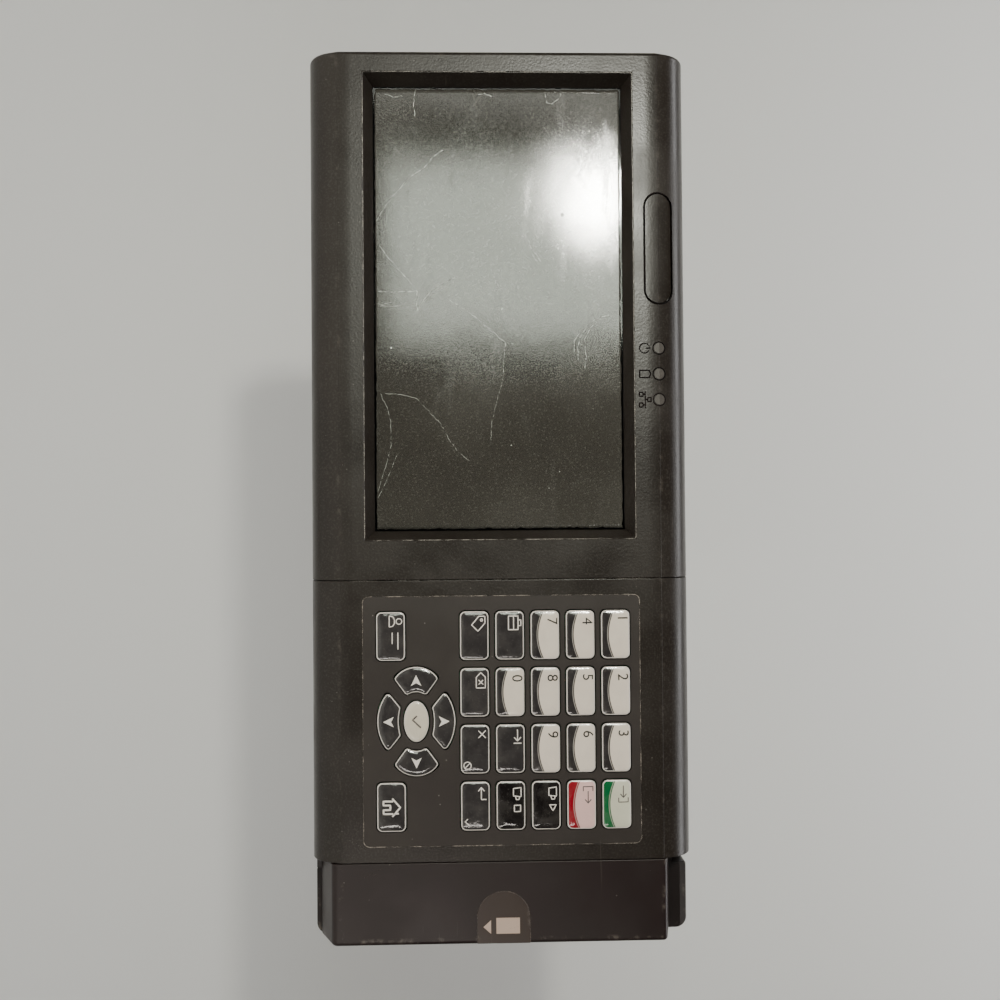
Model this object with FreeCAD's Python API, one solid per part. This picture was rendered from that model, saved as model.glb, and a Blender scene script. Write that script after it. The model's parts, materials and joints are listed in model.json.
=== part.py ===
import FreeCAD, Part
import math
import os

# Wall-hung terminal with a touch screen, a keypad and a card-swipe reader head.
# Millimetres. +Z is up, +X is to the right of someone facing it, and it faces -Y.
# The origin is the centre of the wall plate's back face, which lies on the wall.
# "Depth" is always measured from the flat front face towards the wall.

V = FreeCAD.Vector

# Driving dimensions
overallDepth = 60.0
leftEnd, rightEnd = -158.5, 158.5
displaySeam, readerSeam = 30.0, 129.5
seamGap = 0.2
endRadius, seamRadius, rimChamfer = 1.5, 0.3, 0.3
wall = 2.5
flatHalf, sideHalf = 57.0, 68.0          # half heights of the flat front and of the sides
foldSlope = math.radians(20)             # fold between flat front and rounded shoulder
foldRun, shoulderDepth = 3.72, 12.0
partingDepth = 24.0
rearHalf, rearBackHalf = 67.3, 65.8      # rear housing tapers towards the wall
rimDepth = 59.0
backOuter, backInner = 54.0, 51.5        # back wall of the rear housing

windowX = (-147.9, 12.7)
windowHalf = 45.0
bevelWidth, bevelDepth = 3.1, 6.5
gasketThick, glassThick = 0.5, 1.8

overlayCentreX, overlayWidth, overlayHeight = 79.7, 88.2, 98.4
overlayThick, overlayRecess = 0.4, 0.25
keyPitchX, keyPitchZ = 20.0, 12.5
keyWidth, keyHeight, keyRadius = 17.4, 10.4, 2.0
keyCrown, keyDomeRadius, keyGap = 1.3, 75.0, 0.3
keyTravel = 0.5
topRowZ = 40.3
padCentreX, padCentreZ = 79.7, -30.3
ovalX, ovalZ = 14.7, 9.1
boardFront = 5.4                         # keypad board

slotFront, slotBack = 12.0, 13.4         # card slot, between its two walls
slotFloorX = 134.0
capFront, capSlot = (-60.0, 58.0), (-65.3, 60.5)   # lower and upper edges: at the front, at the slot
capFoldLow, capFoldHigh = 2.5, 1.5
neckZ = (-67.0, 61.9)                    # block that closes the inner end of the slot
labelStart, labelHalf = 140.0, 9.3
guideHalf, guideCorner = 67.3, 4.0
headX = 144.0
pivotZ, pivotDepth, pinRadius, barrelRadius = 16.0, 8.0, 1.0, 1.7

lightX = (-52.0, -42.8, -33.6)
lightZ, lightRadius = 57.0, 1.85
optionX, optionZ, optionLength, optionHeight = -87.8, 57.15, 39.0, 9.3

mainBoard = (-42.0, 96.0, -50.0, 50.0)
mainBoardDepth, boardThick = 31.8, 1.6
bayX, bayZ, bayDepth = 30.0, (-45.0, 5.0), 36.0
hookX, hookZ = 110.0, (30.0, -40.0)

screwShank, screwHead, screwLength, headHeight = 1.5, 2.75, 10.0, 2.0
pilotRadius = 1.55
casePosts = [(x, z) for x in (-150.0, 22.0, 38.0, 122.0) for z in (-58.0, 58.0)]
postJoint = 26.0                         # where bezel posts meet rear housing posts
boardPosts = [(x, z) for x in (-38.0, 92.0) for z in (-46.0, 46.0)]
bracketPosts = [(x, z) for x in (-128.0, -8.0) for z in (-56.0, 56.0)]
bracketDepth, bracketThick = 14.2, 1.0


def yOf(depth):
    """Row Y of a depth measured from the front."""
    return depth - overallDepth


def outline(points, place):
    """Closed wire through (u, v, radius) corners, each rounded by its radius."""
    count = len(points)
    ends = []
    for i, (u, v, r) in enumerate(points):
        here = V(u, v, 0)
        before = V(points[i - 1][0], points[i - 1][1], 0)
        after = V(points[(i + 1) % count][0], points[(i + 1) % count][1], 0)
        a = (before - here).normalize()
        b = (after - here).normalize()
        if r <= 0:
            ends.append((here, None, here))
            continue
        half = a.getAngle(b) / 2
        back = r / math.tan(half)
        middle = (a + b).normalize() * (r / math.sin(half) - r)
        ends.append((here + a * back, here + middle, here + b * back))
    edges = []
    for i, (start, middle, end) in enumerate(ends):
        if middle is not None:
            edges.append(Part.Arc(place(start), place(middle), place(end)).toShape())
        following = ends[(i + 1) % count][0]
        if end.distanceToPoint(following) > 1e-6:
            edges.append(Part.LineSegment(place(end), place(following)).toShape())
    return Part.Wire(edges)


def frontWire(points, depth):
    return outline(points, lambda p: V(p.x, yOf(depth), p.y))


def rectangle(x0, x1, z0, z1, r=0.0):
    return [(x0, z0, r), (x1, z0, r), (x1, z1, r), (x0, z1, r)]


def slab(points, d0, d1):
    """Front-view outline given a thickness from depth d0 to depth d1."""
    return Part.Face(frontWire(points, d0)).extrude(V(0, d1 - d0, 0))


def block(x0, x1, d0, d1, z0, z1, r=0.0):
    return slab(rectangle(x0, x1, z0, z1, r), d0, d1)


def rod(x, z, radius, d0, d1):
    """Round bar along the depth."""
    return Part.makeCylinder(radius, d1 - d0, V(x, yOf(d0), z), V(0, 1, 0))


def taper(points0, d0, points1, d1):
    return Part.makeLoft([frontWire(points0, d0), frontWire(points1, d1)], True, True)


def save(name, shape):
    shape = shape.removeSplitter() if len(shape.Solids) == 1 else shape
    if not shape.isValid():
        print("not valid:", name)
    print(name, len(shape.Solids), round(shape.Volume / 1000.0, 2), "cm3")
    shape.exportStep("parts/" + name + ".step")


def shoulder(inset):
    """Half section of the front mouldings: flat, fold, rounded shoulder and straight side."""
    fold = V(flatHalf, 0, 0)
    end = fold + V(math.cos(foldSlope), math.sin(foldSlope), 0) * foldRun
    radius = (sideHalf - end.x) / (1 - math.sin(foldSlope))
    centre = V(sideHalf - radius, shoulderDepth, 0)
    turn = (math.pi / 2 + foldSlope) / 2
    r = radius - inset
    sideways = inset * math.tan(foldSlope / 2)
    flatEnd = V(flatHalf - sideways, inset, 0)
    arcStart = centre + V(math.sin(foldSlope), -math.cos(foldSlope), 0) * r
    arcMiddle = centre + V(math.sin(turn), -math.cos(turn), 0) * r
    arcEnd = centre + V(r, 0, 0)
    return flatEnd, arcStart, arcMiddle, arcEnd


def section(x0, x1, inset, depthEnd):
    """The whole front section, extruded from x0 to x1."""
    flatEnd, arcStart, arcMiddle, arcEnd = shoulder(inset)

    def at(p, side):
        return V(x0, yOf(p.y), side * p.x)

    side = V(arcEnd.x, depthEnd, 0)
    edges = [
        Part.LineSegment(at(flatEnd, -1), at(flatEnd, 1)).toShape(),
        Part.LineSegment(at(flatEnd, 1), at(arcStart, 1)).toShape(),
        Part.Arc(at(arcStart, 1), at(arcMiddle, 1), at(arcEnd, 1)).toShape(),
        Part.LineSegment(at(arcEnd, 1), at(side, 1)).toShape(),
        Part.LineSegment(at(side, 1), at(side, -1)).toShape(),
        Part.LineSegment(at(side, -1), at(arcEnd, -1)).toShape(),
        Part.Arc(at(arcEnd, -1), at(arcMiddle, -1), at(arcStart, -1)).toShape(),
        Part.LineSegment(at(arcStart, -1), at(flatEnd, -1)).toShape(),
    ]
    return Part.Face(Part.Wire(edges)).extrude(V(x1 - x0, 0, 0))


def roundEnd(shape, x, radius):
    """Round the edges of the flat end at x, except the parting edge at the back."""
    chosen = []
    for edge in shape.Edges:
        box = edge.BoundBox
        onEnd = abs(box.XMin - x) < 1e-3 and abs(box.XMax - x) < 1e-3
        if onEnd and box.YMin < shape.BoundBox.YMax - 1e-3:
            chosen.append(edge)
    return shape.makeFillet(radius, chosen)


def screwAt(x, z, seat, direction=1):
    """Pan-head screw along the depth; direction 1 has its head towards the wall."""
    if direction > 0:
        shank = rod(x, z, screwShank, seat - screwLength, seat)
        head = rod(x, z, screwHead, seat, seat + headHeight)
        recess = rod(x, z, 0.9, seat + headHeight - 1.1, seat + headHeight)
    else:
        shank = rod(x, z, screwShank, seat, seat + screwLength)
        head = rod(x, z, screwHead, seat - headHeight, seat)
        recess = rod(x, z, 0.9, seat - headHeight, seat - headHeight + 1.1)
    return shank.fuse(head).cut(recess)


# Keys: name -> (outline kind, centre x, centre z)
columns = [overlayCentreX + keyPitchX * (i - 1.5) for i in range(4)]
rows = [topRowZ - keyPitchZ * i for i in range(5)]
keyNames = [
    ["key_1", "key_2", "key_3", "key_clock_in"],
    ["key_4", "key_5", "key_6", "key_clock_out"],
    ["key_7", "key_8", "key_9", "key_break_start"],
    ["key_job", "key_0", "key_tab", "key_break_end"],
    ["key_cost", "key_backspace", "key_escape", "key_enter"],
]
bottomRowZ = -39.2
blockKeys = {name: (columns[c], rows[r]) for r, line in enumerate(keyNames) for c, name in enumerate(line)}
blockKeys["key_self_service"] = (columns[0], bottomRowZ)
blockKeys["key_home"] = (columns[3], bottomRowZ)


def edgeFace(edges, depth):
    """Face at a depth from (x, z) curves given as lists of two or three points."""
    made = []
    for points in edges:
        at = [V(x, yOf(depth), z) for x, z in points]
        made.append((Part.LineSegment(*at) if len(at) == 2 else Part.Arc(*at)).toShape())
    return Part.Face(Part.Wire(made))


def arrowEdges(kind, grow):
    """Fan-shaped arrow key round the oval, as curves; grow widens it all round."""
    cx, cz = padCentreX, padCentreZ
    if kind in ("left", "right"):
        s = -1 if kind == "left" else 1
        outer = [(15.1, -8.0), (19.4, 0.0), (15.1, 8.0)]
        inner = [(8.95, 3.5), (10.2, 0.0), (8.95, -3.5)]
        outer = [(u + grow * 0.9, v + grow * (1.3 if v > 0 else -1.3 if v < 0 else 0)) for u, v in outer]
        inner = [(u - grow, v + grow * (0.5 if v > 0 else -0.5 if v < 0 else 0)) for u, v in inner]
        curves = [outer, [outer[2], inner[0]], inner, [inner[2], outer[0]]]
        return [[(cx + s * u, cz + v) for u, v in curve] for curve in curves]
    s = 1 if kind == "up" else -1
    outer = [(-10.7, 10.0), (0.0, 13.9), (10.7, 10.0)]
    inner = [(5.0, 5.4), (0.0, 6.05), (-5.0, 5.4)]
    outer = [(u + grow * (1.3 if u > 0 else -1.3 if u < 0 else 0), v + grow * 0.9) for u, v in outer]
    inner = [(u + grow * (0.5 if u > 0 else -0.5 if u < 0 else 0), v - grow) for u, v in inner]
    curves = [outer, [outer[2], inner[0]], inner, [inner[2], outer[0]]]
    return [[(cx + u, cz + s * v) for u, v in curve] for curve in curves]


def arrowPrism(kind, grow, d0, d1, corner):
    prism = edgeFace(arrowEdges(kind, grow), d0).extrude(V(0, d1 - d0, 0))
    upright = [e for e in prism.Edges if e.BoundBox.YLength > (d1 - d0) * 0.9]
    return prism.makeFillet(corner, upright)


def ovalPrism(grow, d0, d1):
    centre = V(padCentreX, yOf(d0), padCentreZ)
    ellipse = Part.Ellipse(centre + V(ovalX / 2 + grow, 0, 0), centre + V(0, 0, ovalZ / 2 + grow), centre)
    return Part.Face(Part.Wire([ellipse.toShape()])).extrude(V(0, d1 - d0, 0))


def keyPrism(name, grow, d0, d1):
    """Body of a key, or of the hole that it moves in when grow is positive."""
    if name in blockKeys:
        x, z = blockKeys[name]
        w, h = keyWidth / 2 + grow, keyHeight / 2 + grow
        return block(x - w, x + w, d0, d1, z - h, z + h, keyRadius + grow * 0.5)
    if name == "key_select":
        return ovalPrism(grow, d0, d1)
    return arrowPrism(name[4:], grow, d0, d1, 1.3)


arrowCentres = {"key_left": (-13.3, 0.0), "key_right": (13.3, 0.0), "key_up": (0.0, 9.7),
                "key_down": (0.0, -9.7), "key_select": (0.0, 0.0)}
allKeys = list(blockKeys) + list(arrowCentres)


def keyCentre(name):
    if name in blockKeys:
        return blockKeys[name]
    u, v = arrowCentres[name]
    return padCentreX + u, padCentreZ + v


def makeKey(name):
    """Domed cap, retaining flange behind the bezel wall, and a short plunger."""
    x, z = keyCentre(name)
    dome = Part.makeSphere(keyDomeRadius, V(x, yOf(-keyCrown) + keyDomeRadius, z))
    cap = keyPrism(name, 0.0, -keyCrown - 1.0, 3.0).common(dome)
    rim = [e for e in cap.Edges if e.BoundBox.YMax < yOf(-0.2)]
    cap = cap.makeFillet(0.45, rim)
    flangeGrow = keyGap + (0.35 if name in blockKeys else 0.12)
    flange = keyPrism(name, flangeGrow, 2.6, 3.5)
    return cap.fuse(flange).fuse(rod(x, z, 2.0, 3.0, 4.0))


def makeDisplayBezel():
    x1 = displaySeam - seamGap / 2
    shell = roundEnd(section(leftEnd, x1, 0.0, partingDepth), leftEnd, endRadius)
    shell = roundEnd(shell, x1, seamRadius)
    outer = shell.copy()
    shell = shell.cut(section(leftEnd + wall, x1 + 1, wall, partingDepth + 1))
    low, high = windowX[0] - bevelWidth, windowX[1] + bevelWidth
    far = windowHalf + bevelWidth
    funnel = taper(rectangle(low - 2.4, high + 2.4, -far - 2.4, far + 2.4), 0.0,
                   rectangle(windowX[0] - 3.4, windowX[1] + 3.4, -windowHalf - 3.4, windowHalf + 3.4),
                   bevelDepth)
    posts = [rod(x, z, 3.5, 1.0, postJoint) for x, z in casePosts if x < displaySeam]
    posts += [rod(x, z, 3.0, 1.0, bracketDepth) for x, z in bracketPosts]
    shell = shell.fuse(funnel)
    for post in posts:
        shell = shell.fuse(post.common(outer.fuse(post.common(block(-200, 200, 5.0, 60.0, -62, 62)))))
    slope = bevelWidth / bevelDepth
    shell = shell.cut(taper(
        rectangle(low - slope, high + slope, -far - slope, far + slope), -1.0,
        rectangle(windowX[0] + slope, windowX[1] - slope, -windowHalf + slope, windowHalf - slope),
        bevelDepth + 1.0))
    shell = shell.cut(taper(rectangle(low - 2 * rimChamfer, high + 2 * rimChamfer,
                                      -far - 2 * rimChamfer, far + 2 * rimChamfer), -rimChamfer,
                            rectangle(low, high, -far, far), rimChamfer))
    for x, z in casePosts:
        shell = shell.cut(rod(x, z, pilotRadius, postJoint - 7.0, postJoint + 1.0))
    for x, z in bracketPosts:
        shell = shell.cut(rod(x, z, pilotRadius, bracketDepth - 9.4, bracketDepth + 1.0))
    for x in lightX:
        shell = shell.cut(rod(x, lightZ, lightRadius + 0.1, -1.0, 10.0))
    return shell.cut(optionSlab(0.35, -1.0, 10.0))


def optionSlab(grow, d0, d1):
    w, h = optionLength / 2 + grow, optionHeight / 2 + grow
    return block(optionX - w, optionX + w, d0, d1, optionZ - h, optionZ + h, h - 0.001)


def makeOptionCover():
    plug = optionSlab(0.0, -1.0, 6.4).common(section(leftEnd, displaySeam, 0.0, partingDepth))
    return plug.fuse(optionSlab(1.5, 6.2, 7.2))


def makeLenses():
    surface = section(leftEnd, displaySeam, -0.3, partingDepth)
    return Part.makeCompound([rod(x, lightZ, lightRadius, -1.0, 5.8).common(surface) for x in lightX])


stakes = [(overlayCentreX + side * 42.9, z) for side in (-1, 1) for z in (-20.0, 20.0)]


def makeKeypadBezel():
    x0, x1 = displaySeam + seamGap / 2, readerSeam - seamGap / 2
    shell = roundEnd(roundEnd(section(x0, x1, 0.0, partingDepth), x0, seamRadius), x1, seamRadius)
    shell = shell.cut(section(x0 - 1, x1 - 2.0, wall, partingDepth + 1))
    for x, z in casePosts:
        if x > displaySeam:
            shell = shell.fuse(rod(x, z, 3.5, 2.2, postJoint))
            shell = shell.cut(rod(x, z, pilotRadius, postJoint - 7.0, postJoint + 1.0))
    w, h = overlayWidth / 2, overlayHeight / 2
    shell = shell.cut(block(overlayCentreX - w, overlayCentreX + w, -1.0, overlayRecess, -h, h, 3.0))
    for x, z in stakes:
        shell = shell.fuse(rod(x, z, 2.4, 2.2, boardFront)).fuse(rod(x, z, 1.3, 2.2, 7.4))
        shell = shell.fuse(rod(x, z, 2.2, 7.05, 7.9))
    for name in allKeys:
        shell = shell.cut(keyPrism(name, keyGap, -1.0, 2.6))
    return shell.cut(block(x1 - 3, x1 + 1, 10.4, 12.2, -42.0, -28.0))   # ribbon way to the reader


def makeOverlay():
    w, h = overlayWidth / 2 - 0.1, overlayHeight / 2 - 0.1
    top = overlayRecess - overlayThick
    film = block(overlayCentreX - w, overlayCentreX + w, top, overlayRecess, -h, h, 2.9)
    for name in allKeys:
        film = film.cut(keyPrism(name, keyGap, -1.0, 1.0))
    return film


def makeKeypadBoard():
    board = block(33.5, 126.0, boardFront, 7.0, -48.0, 48.0, 2.0)
    for x, z in stakes:
        board = board.cut(rod(x, z, 1.4, 5.0, 8.0))
    return board


def makeDomes():
    """Low snap domes standing on the board, one under each key."""
    domes = []
    for name in allKeys:
        x, z = keyCentre(name)
        ball = Part.makeSphere(8.2, V(x, yOf(boardFront - 0.75) + 8.2, z))
        domes.append(ball.common(rod(x, z, 4.0, boardFront - 1.0, boardFront)))
    return Part.makeCompound(domes)


def capProfile(x0, x1, inset, d0, d1):
    """Reader cover section: flat front, tight folds, then straight sides leaning out to the slot."""
    def edge(i, depth):
        lean = (capSlot[i] - capFront[i]) / slotFront
        return capFront[i] + lean * depth + (inset if i == 0 else -inset)

    foldLow, foldHigh = (capFoldLow, capFoldHigh) if inset == 0 else (0, 0)
    points = [(edge(0, d0), d0, foldLow), (edge(1, d0), d0, foldHigh),
              (edge(1, d1), d1, 0), (edge(0, d1), d1, 0)]
    wire = outline(points, lambda p: V(x0, yOf(p.y), p.x))
    return Part.Face(wire).extrude(V(x1 - x0, 0, 0))


def makeReaderCover():
    x0 = readerSeam + seamGap / 2
    shell = capProfile(x0, rightEnd, 0.0, 0.0, slotFront)
    shell = roundEnd(roundEnd(shell, rightEnd, endRadius), x0, seamRadius)
    shell = shell.cut(capProfile(x0 - 1, rightEnd - 2.2, 2.4, 2.2, slotFront + 1))
    return shell.cut(labelSlab(0.15, -1.0, 0.9))


def labelSlab(grow, d0, d1):
    """D shape: straight sides running off the right end, round inner end."""
    x0, h = labelStart - grow, labelHalf + grow
    points = [(x0, -h, h), (rightEnd + 1.0, -h, 0), (rightEnd + 1.0, h, 0), (x0, h, h)]
    return slab(points, d0, d1)


def makeLabel():
    inside = block(130.0, rightEnd - 0.2, -1.0, 2.0, -20.0, 20.0)
    return labelSlab(0.0, 0.35, 0.9).common(inside)


def makeSlotPlate():
    """Front wall of the card slot, with the head's window and the two pivot ears."""
    plate = capProfile(131.8, rightEnd - 2.3, 2.5, 10.4, slotFront)
    for side in (-1, 1):
        x = headX + side * 6.4
        plate = plate.fuse(block(x - 0.9, x + 0.9, 5.6, 10.6, pivotZ - 2.6, pivotZ + 2.6))
    plate = plate.cut(block(headX - 5.1, headX + 5.1, 10.0, 13.0, -5.7, 5.7, 0.6))
    bore = Part.makeCylinder(pinRadius + 0.01, 30, V(headX - 15, yOf(pivotDepth), pivotZ), V(1, 0, 0))
    return plate.cut(bore)


def makeCardGuide():
    corner = [(slotFloorX + 0.5, -guideHalf, 0.8), (rightEnd, -guideHalf, guideCorner),
              (rightEnd, guideHalf, guideCorner), (slotFloorX + 0.5, guideHalf, 0.8)]
    guide = slab(corner, slotBack, partingDepth)
    lip = [e for e in guide.Edges if e.BoundBox.YMax < yOf(slotBack) + 1e-3
           and e.BoundBox.XMax > slotFloorX + 1.5]
    guide = guide.makeFillet(0.6, lip)
    neck = block(readerSeam + seamGap / 2, slotFloorX, slotFront, partingDepth, *neckZ)
    neck = neck.fuse(block(slotFloorX - 0.5, slotFloorX + 1.2, slotBack, partingDepth, *neckZ))
    guide = guide.fuse(neck)
    hollow = block(132.0, rightEnd - 2.5, 15.8, partingDepth + 1, -59.0, 59.0, 2.0)
    guide = guide.cut(hollow)
    for z in (-1, 1):                     # flared mouths where the card enters and leaves
        flare = Part.makeBox(40, 3, 6, V(slotFloorX + 0.5, yOf(slotBack), -3))
        flare.rotate(V(0, yOf(slotBack), 0), V(1, 0, 0), z * 12)
        flare.translate(V(0, -3.0, z * guideHalf))
        guide = guide.cut(flare)
    return guide


def tubOutline(grow, half):
    return [(leftEnd + grow, -half + grow, 1.5), (rightEnd - grow, -half + grow, guideCorner),
            (rightEnd - grow, half - grow, guideCorner), (leftEnd + grow, half - grow, 1.5)]


def makeRearHousing():
    taperRate = (rearHalf - rearBackHalf) / (rimDepth - partingDepth)
    half = lambda depth: rearHalf - taperRate * (depth - partingDepth)
    tub = taper(tubOutline(0, half(partingDepth)), partingDepth, tubOutline(0, half(rimDepth)), rimDepth)
    tub = tub.cut(taper(tubOutline(wall, half(23.0)), 23.0, tubOutline(wall, half(backInner)), backInner))
    tub = tub.cut(taper(tubOutline(wall, half(backOuter)), backOuter, tubOutline(wall, half(60.0)), 60.0))
    tub = tub.fuse(block(-bayX - 2, bayX + 2, bayDepth - 2, backInner + 1, bayZ[0] - 2, bayZ[1] + 2))
    tub = tub.cut(block(-bayX, bayX, bayDepth, backOuter + 1, bayZ[0], bayZ[1], 1.5))
    for x, z in casePosts:
        tub = tub.fuse(rod(x, z, 4.2, postJoint, backInner + 0.5))
        tub = tub.cut(rod(x, z, 1.7, postJoint - 1, 40.0)).cut(rod(x, z, 3.1, postJoint + 4, 60.0))
    for x, z in boardPosts:
        tub = tub.fuse(rod(x, z, 3.5, mainBoardDepth + boardThick, backInner + 0.5))
        tub = tub.cut(rod(x, z, pilotRadius, mainBoardDepth, mainBoardDepth + 11.0))
    for side in (-1, 1):
        for z in hookZ:
            tub = tub.cut(block(side * hookX - 9, side * hookX + 9, 50.0, 55.0, z - 6.5, z + 6.0))
    for x0, x1, d0, d1 in (socketOpenings["ethernet_jack"], socketOpenings["usb_port"],
                           socketOpenings["power_jack"]):
        tub = tub.cut(block(x0 - 0.2, x1 + 0.2, d0 - 0.2, d1 + 0.2, bayZ[1] - 1, bayZ[1] + 3))
    lock = Part.makeCylinder(1.7, 12, V(0, yOf(lockDepth), -70), V(0, 0, 1))
    return tub.cut(lock)


# Bodies of the three sockets above the cable bay: x range and depth range
socketOpenings = {"ethernet_jack": (-26.0, -10.0, 37.0, 50.4), "usb_port": (-4.0, 10.5, 40.0, 47.0),
                  "power_jack": (17.0, 26.0, 38.0, 49.0)}
lockDepth = 56.5


def socket(name, length):
    x0, x1, d0, d1 = socketOpenings[name]
    bottom = bayZ[1] + 0.1
    body = block(x0, x1, d0, d1, bottom, bottom + length)
    feet = block(x0 + 1, x1 - 1, mainBoardDepth + boardThick, d0 + 0.5, bottom + 3, bottom + length - 1)
    return body.fuse(feet), bottom, (x0 + x1) / 2, (d0 + d1) / 2


def makeEthernetJack():
    jack, bottom, x, depth = socket("ethernet_jack", 21.0)
    jack = jack.cut(block(x - 5.9, x + 5.9, depth - 3.4, depth + 4.6, bottom - 1, bottom + 14.0))
    jack = jack.cut(block(x - 3.2, x + 3.2, depth - 5.4, depth, bottom - 1, bottom + 8.0))
    for i in range(8):
        pin = x - 3.57 + 1.02 * i
        jack = jack.fuse(block(pin - 0.2, pin + 0.2, depth + 4.1, depth + 4.7, bottom + 2, bottom + 14.5))
    return jack


def makeUsbPort():
    port, bottom, x, depth = socket("usb_port", 14.0)
    port = port.cut(block(x - 6.25, x + 6.25, depth - 2.6, depth + 2.6, bottom - 1, bottom + 11.5))
    return port.fuse(block(x - 5.6, x + 5.6, depth - 2.0, depth - 0.2, bottom + 0.8, bottom + 12.0))


def makePowerJack():
    jack, bottom, x, depth = socket("power_jack", 14.0)
    at = V(x, yOf(depth), bottom)
    jack = jack.cut(Part.makeCylinder(2.85, 10.5, at - V(0, 0, 1), V(0, 0, 1)))
    return jack.fuse(Part.makeCylinder(1.0, 10.5, at + V(0, 0, 0.5), V(0, 0, 1)))


def makeMainBoard():
    x0, x1, z0, z1 = mainBoard
    board = block(x0, x1, mainBoardDepth, mainBoardDepth + boardThick, z0, z1, 2.0)
    for x, z in boardPosts:
        board = board.cut(rod(x, z, 1.6, 30.0, 35.0))
    return board


def makeBoardParts():
    face = mainBoardDepth
    parts = [block(0, 24, face - 2.0, face, -4, 20, 0.4), block(32, 44, face - 1.2, face, 0, 18, 0.3),
             block(32, 44, face - 1.2, face, -22, -4, 0.3), block(-30, -18, face - 3.5, face, 22, 40, 0.3),
             block(54, 66, face - 2.0, face, 26, 38, 0.3), block(-36, -22, face - 3.0, face, -18, -4, 0.4)]
    parts += [rod(76, -20, 10.0, face - 3.4, face), rod(80, 22, 6.0, face - 8.0, face)]
    for i in range(5):
        parts.append(rod(-32 + 9 * i, -40, 3.2, face - 9.0, face))
    for x, z in ((-20.0, -28.0), (56.0, -36.0), (84.0, -35.0)):   # ribbon sockets
        parts.append(block(x - 2.5, x + 2.5, face - 2.4, face, z - 9.0 + 2, z + 9.0 - 2, 0.2))
    return Part.makeCompound(parts)


def ribbon(points, z0, z1, thick=0.3):
    """Flat cable folded along straight runs in plan; points are (x, depth)."""
    strip = None
    for (xa, da), (xb, db) in zip(points, points[1:]):
        x0, x1 = min(xa, xb) - thick / 2, max(xa, xb) + thick / 2
        run = block(x0, x1, min(da, db) - thick / 2, max(da, db) + thick / 2, z0, z1)
        strip = run if strip is None else strip.fuse(run)
    return strip.removeSplitter()


def makeRibbons():
    top = mainBoardDepth - 2.6
    return Part.makeCompound([
        ribbon([(-34, 14.05 + 0.15), (-26, 14.2), (-26, top), (-18, top)], -33.0, -23.0),
        ribbon([(64, 7.2), (50, 7.2), (50, top), (58, top)], -41.0, -31.0),
        ribbon([(142, 4.7), (131.0, 4.7), (131.0, 11.3), (104, 11.3), (104, top), (82, top)], -40.0, -30.0)])


def makeBracket():
    tray = block(-156.0, 18.0, bracketDepth, bracketDepth + bracketThick, -50.0, 50.0, 2.0)
    for x, z in bracketPosts:
        side = 1 if z > 0 else -1
        lo, hi = sorted((side * 48.0, side * 60.5))
        tray = tray.fuse(block(x - 5, x + 5, bracketDepth, bracketDepth + bracketThick, lo, hi, 1.5))
        tray = tray.cut(rod(x, z, 1.7, 10.0, 20.0))
    tray = tray.cut(block(-45, -15, 14.0, 16.0, -36.0, -18.0, 2.0))
    for x in (-110.0, -60.0, -5.0):
        tray = tray.cut(block(x - 12, x + 12, 14.0, 16.0, 5.0, 35.0, 4.0))
    for z in (-1, 1):
        lo, hi = sorted((z * 50.0, z * 49.0))
        tray = tray.fuse(block(-150.0, 12.0, 9.4, bracketDepth + bracketThick, lo, hi))
    return tray


def makeGlass():
    front = bevelDepth + gasketThick
    return block(-151.0, 15.8, front, front + glassThick, -48.3, 48.3, 1.0)


def makeFilm():
    front = bevelDepth + gasketThick
    return block(windowX[0] + 0.3, windowX[1] - 0.3, front - 0.15, front, -44.7, 44.7, 1.0)


def makeGasket():
    outer = block(-151.0, 15.8, bevelDepth, bevelDepth + gasketThick, -48.3, 48.3)
    return outer.cut(block(windowX[0], windowX[1], 0.0, 20.0, -windowHalf, windowHalf))


def makePanel():
    front = bevelDepth + gasketThick + glassThick
    panel = block(-149.0, 13.8, front, 14.05, -48.5, 48.5, 0.8)
    return panel.cut(block(-146.0, 10.8, 13.6, 15.0, -44.0, 44.0))


def makeLedBoard():
    return block(-58.0, -27.6, 5.9, 7.1, 53.4, 60.6, 0.8)


def makeBattery():
    pack = block(-98.0, -50.0, 38.0, 51.4, -52.0, 12.0, 2.0)
    return pack.makeFillet(3.0, [e for e in pack.Edges if e.BoundBox.ZLength > 55])


def makeReaderBoard():
    board = block(133.0, 155.0, 3.0, 4.5, -50.0, -12.0, 1.0)
    return board.fuse(block(140.0, 150.0, 4.5, 6.0, -28.0, -18.0))


def makeArm():
    """Arm with a barrel round the pivot pin; it carries the head on its rear face."""
    arm = block(headX - 4.0, headX + 4.0, 5.4, 6.6, -4.5, pivotZ + 1.5)
    at = V(headX - 4.5, yOf(pivotDepth), pivotZ)
    arm = arm.fuse(Part.makeCylinder(barrelRadius, 9.0, at, V(1, 0, 0)))
    return arm.cut(Part.makeCylinder(pinRadius + 0.05, 12.0, at - V(1, 0, 0), V(1, 0, 0)))


def makeHead():
    """Magnetic read head, with a front that is round across the card's path."""
    body = block(headX - 4.5, headX + 4.5, 6.6, 12.9, -4.4, 4.4)
    nose = Part.makeCylinder(6.5, 20.0, V(headX - 10, yOf(12.9) - 6.5, 0), V(1, 0, 0))
    return body.common(nose.fuse(block(headX - 10, headX + 10, 6.0, 8.0, -6, 6)))


def makePin():
    return Part.makeCylinder(pinRadius, 15.0, V(headX - 7.5, yOf(pivotDepth), pivotZ), V(1, 0, 0))


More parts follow.
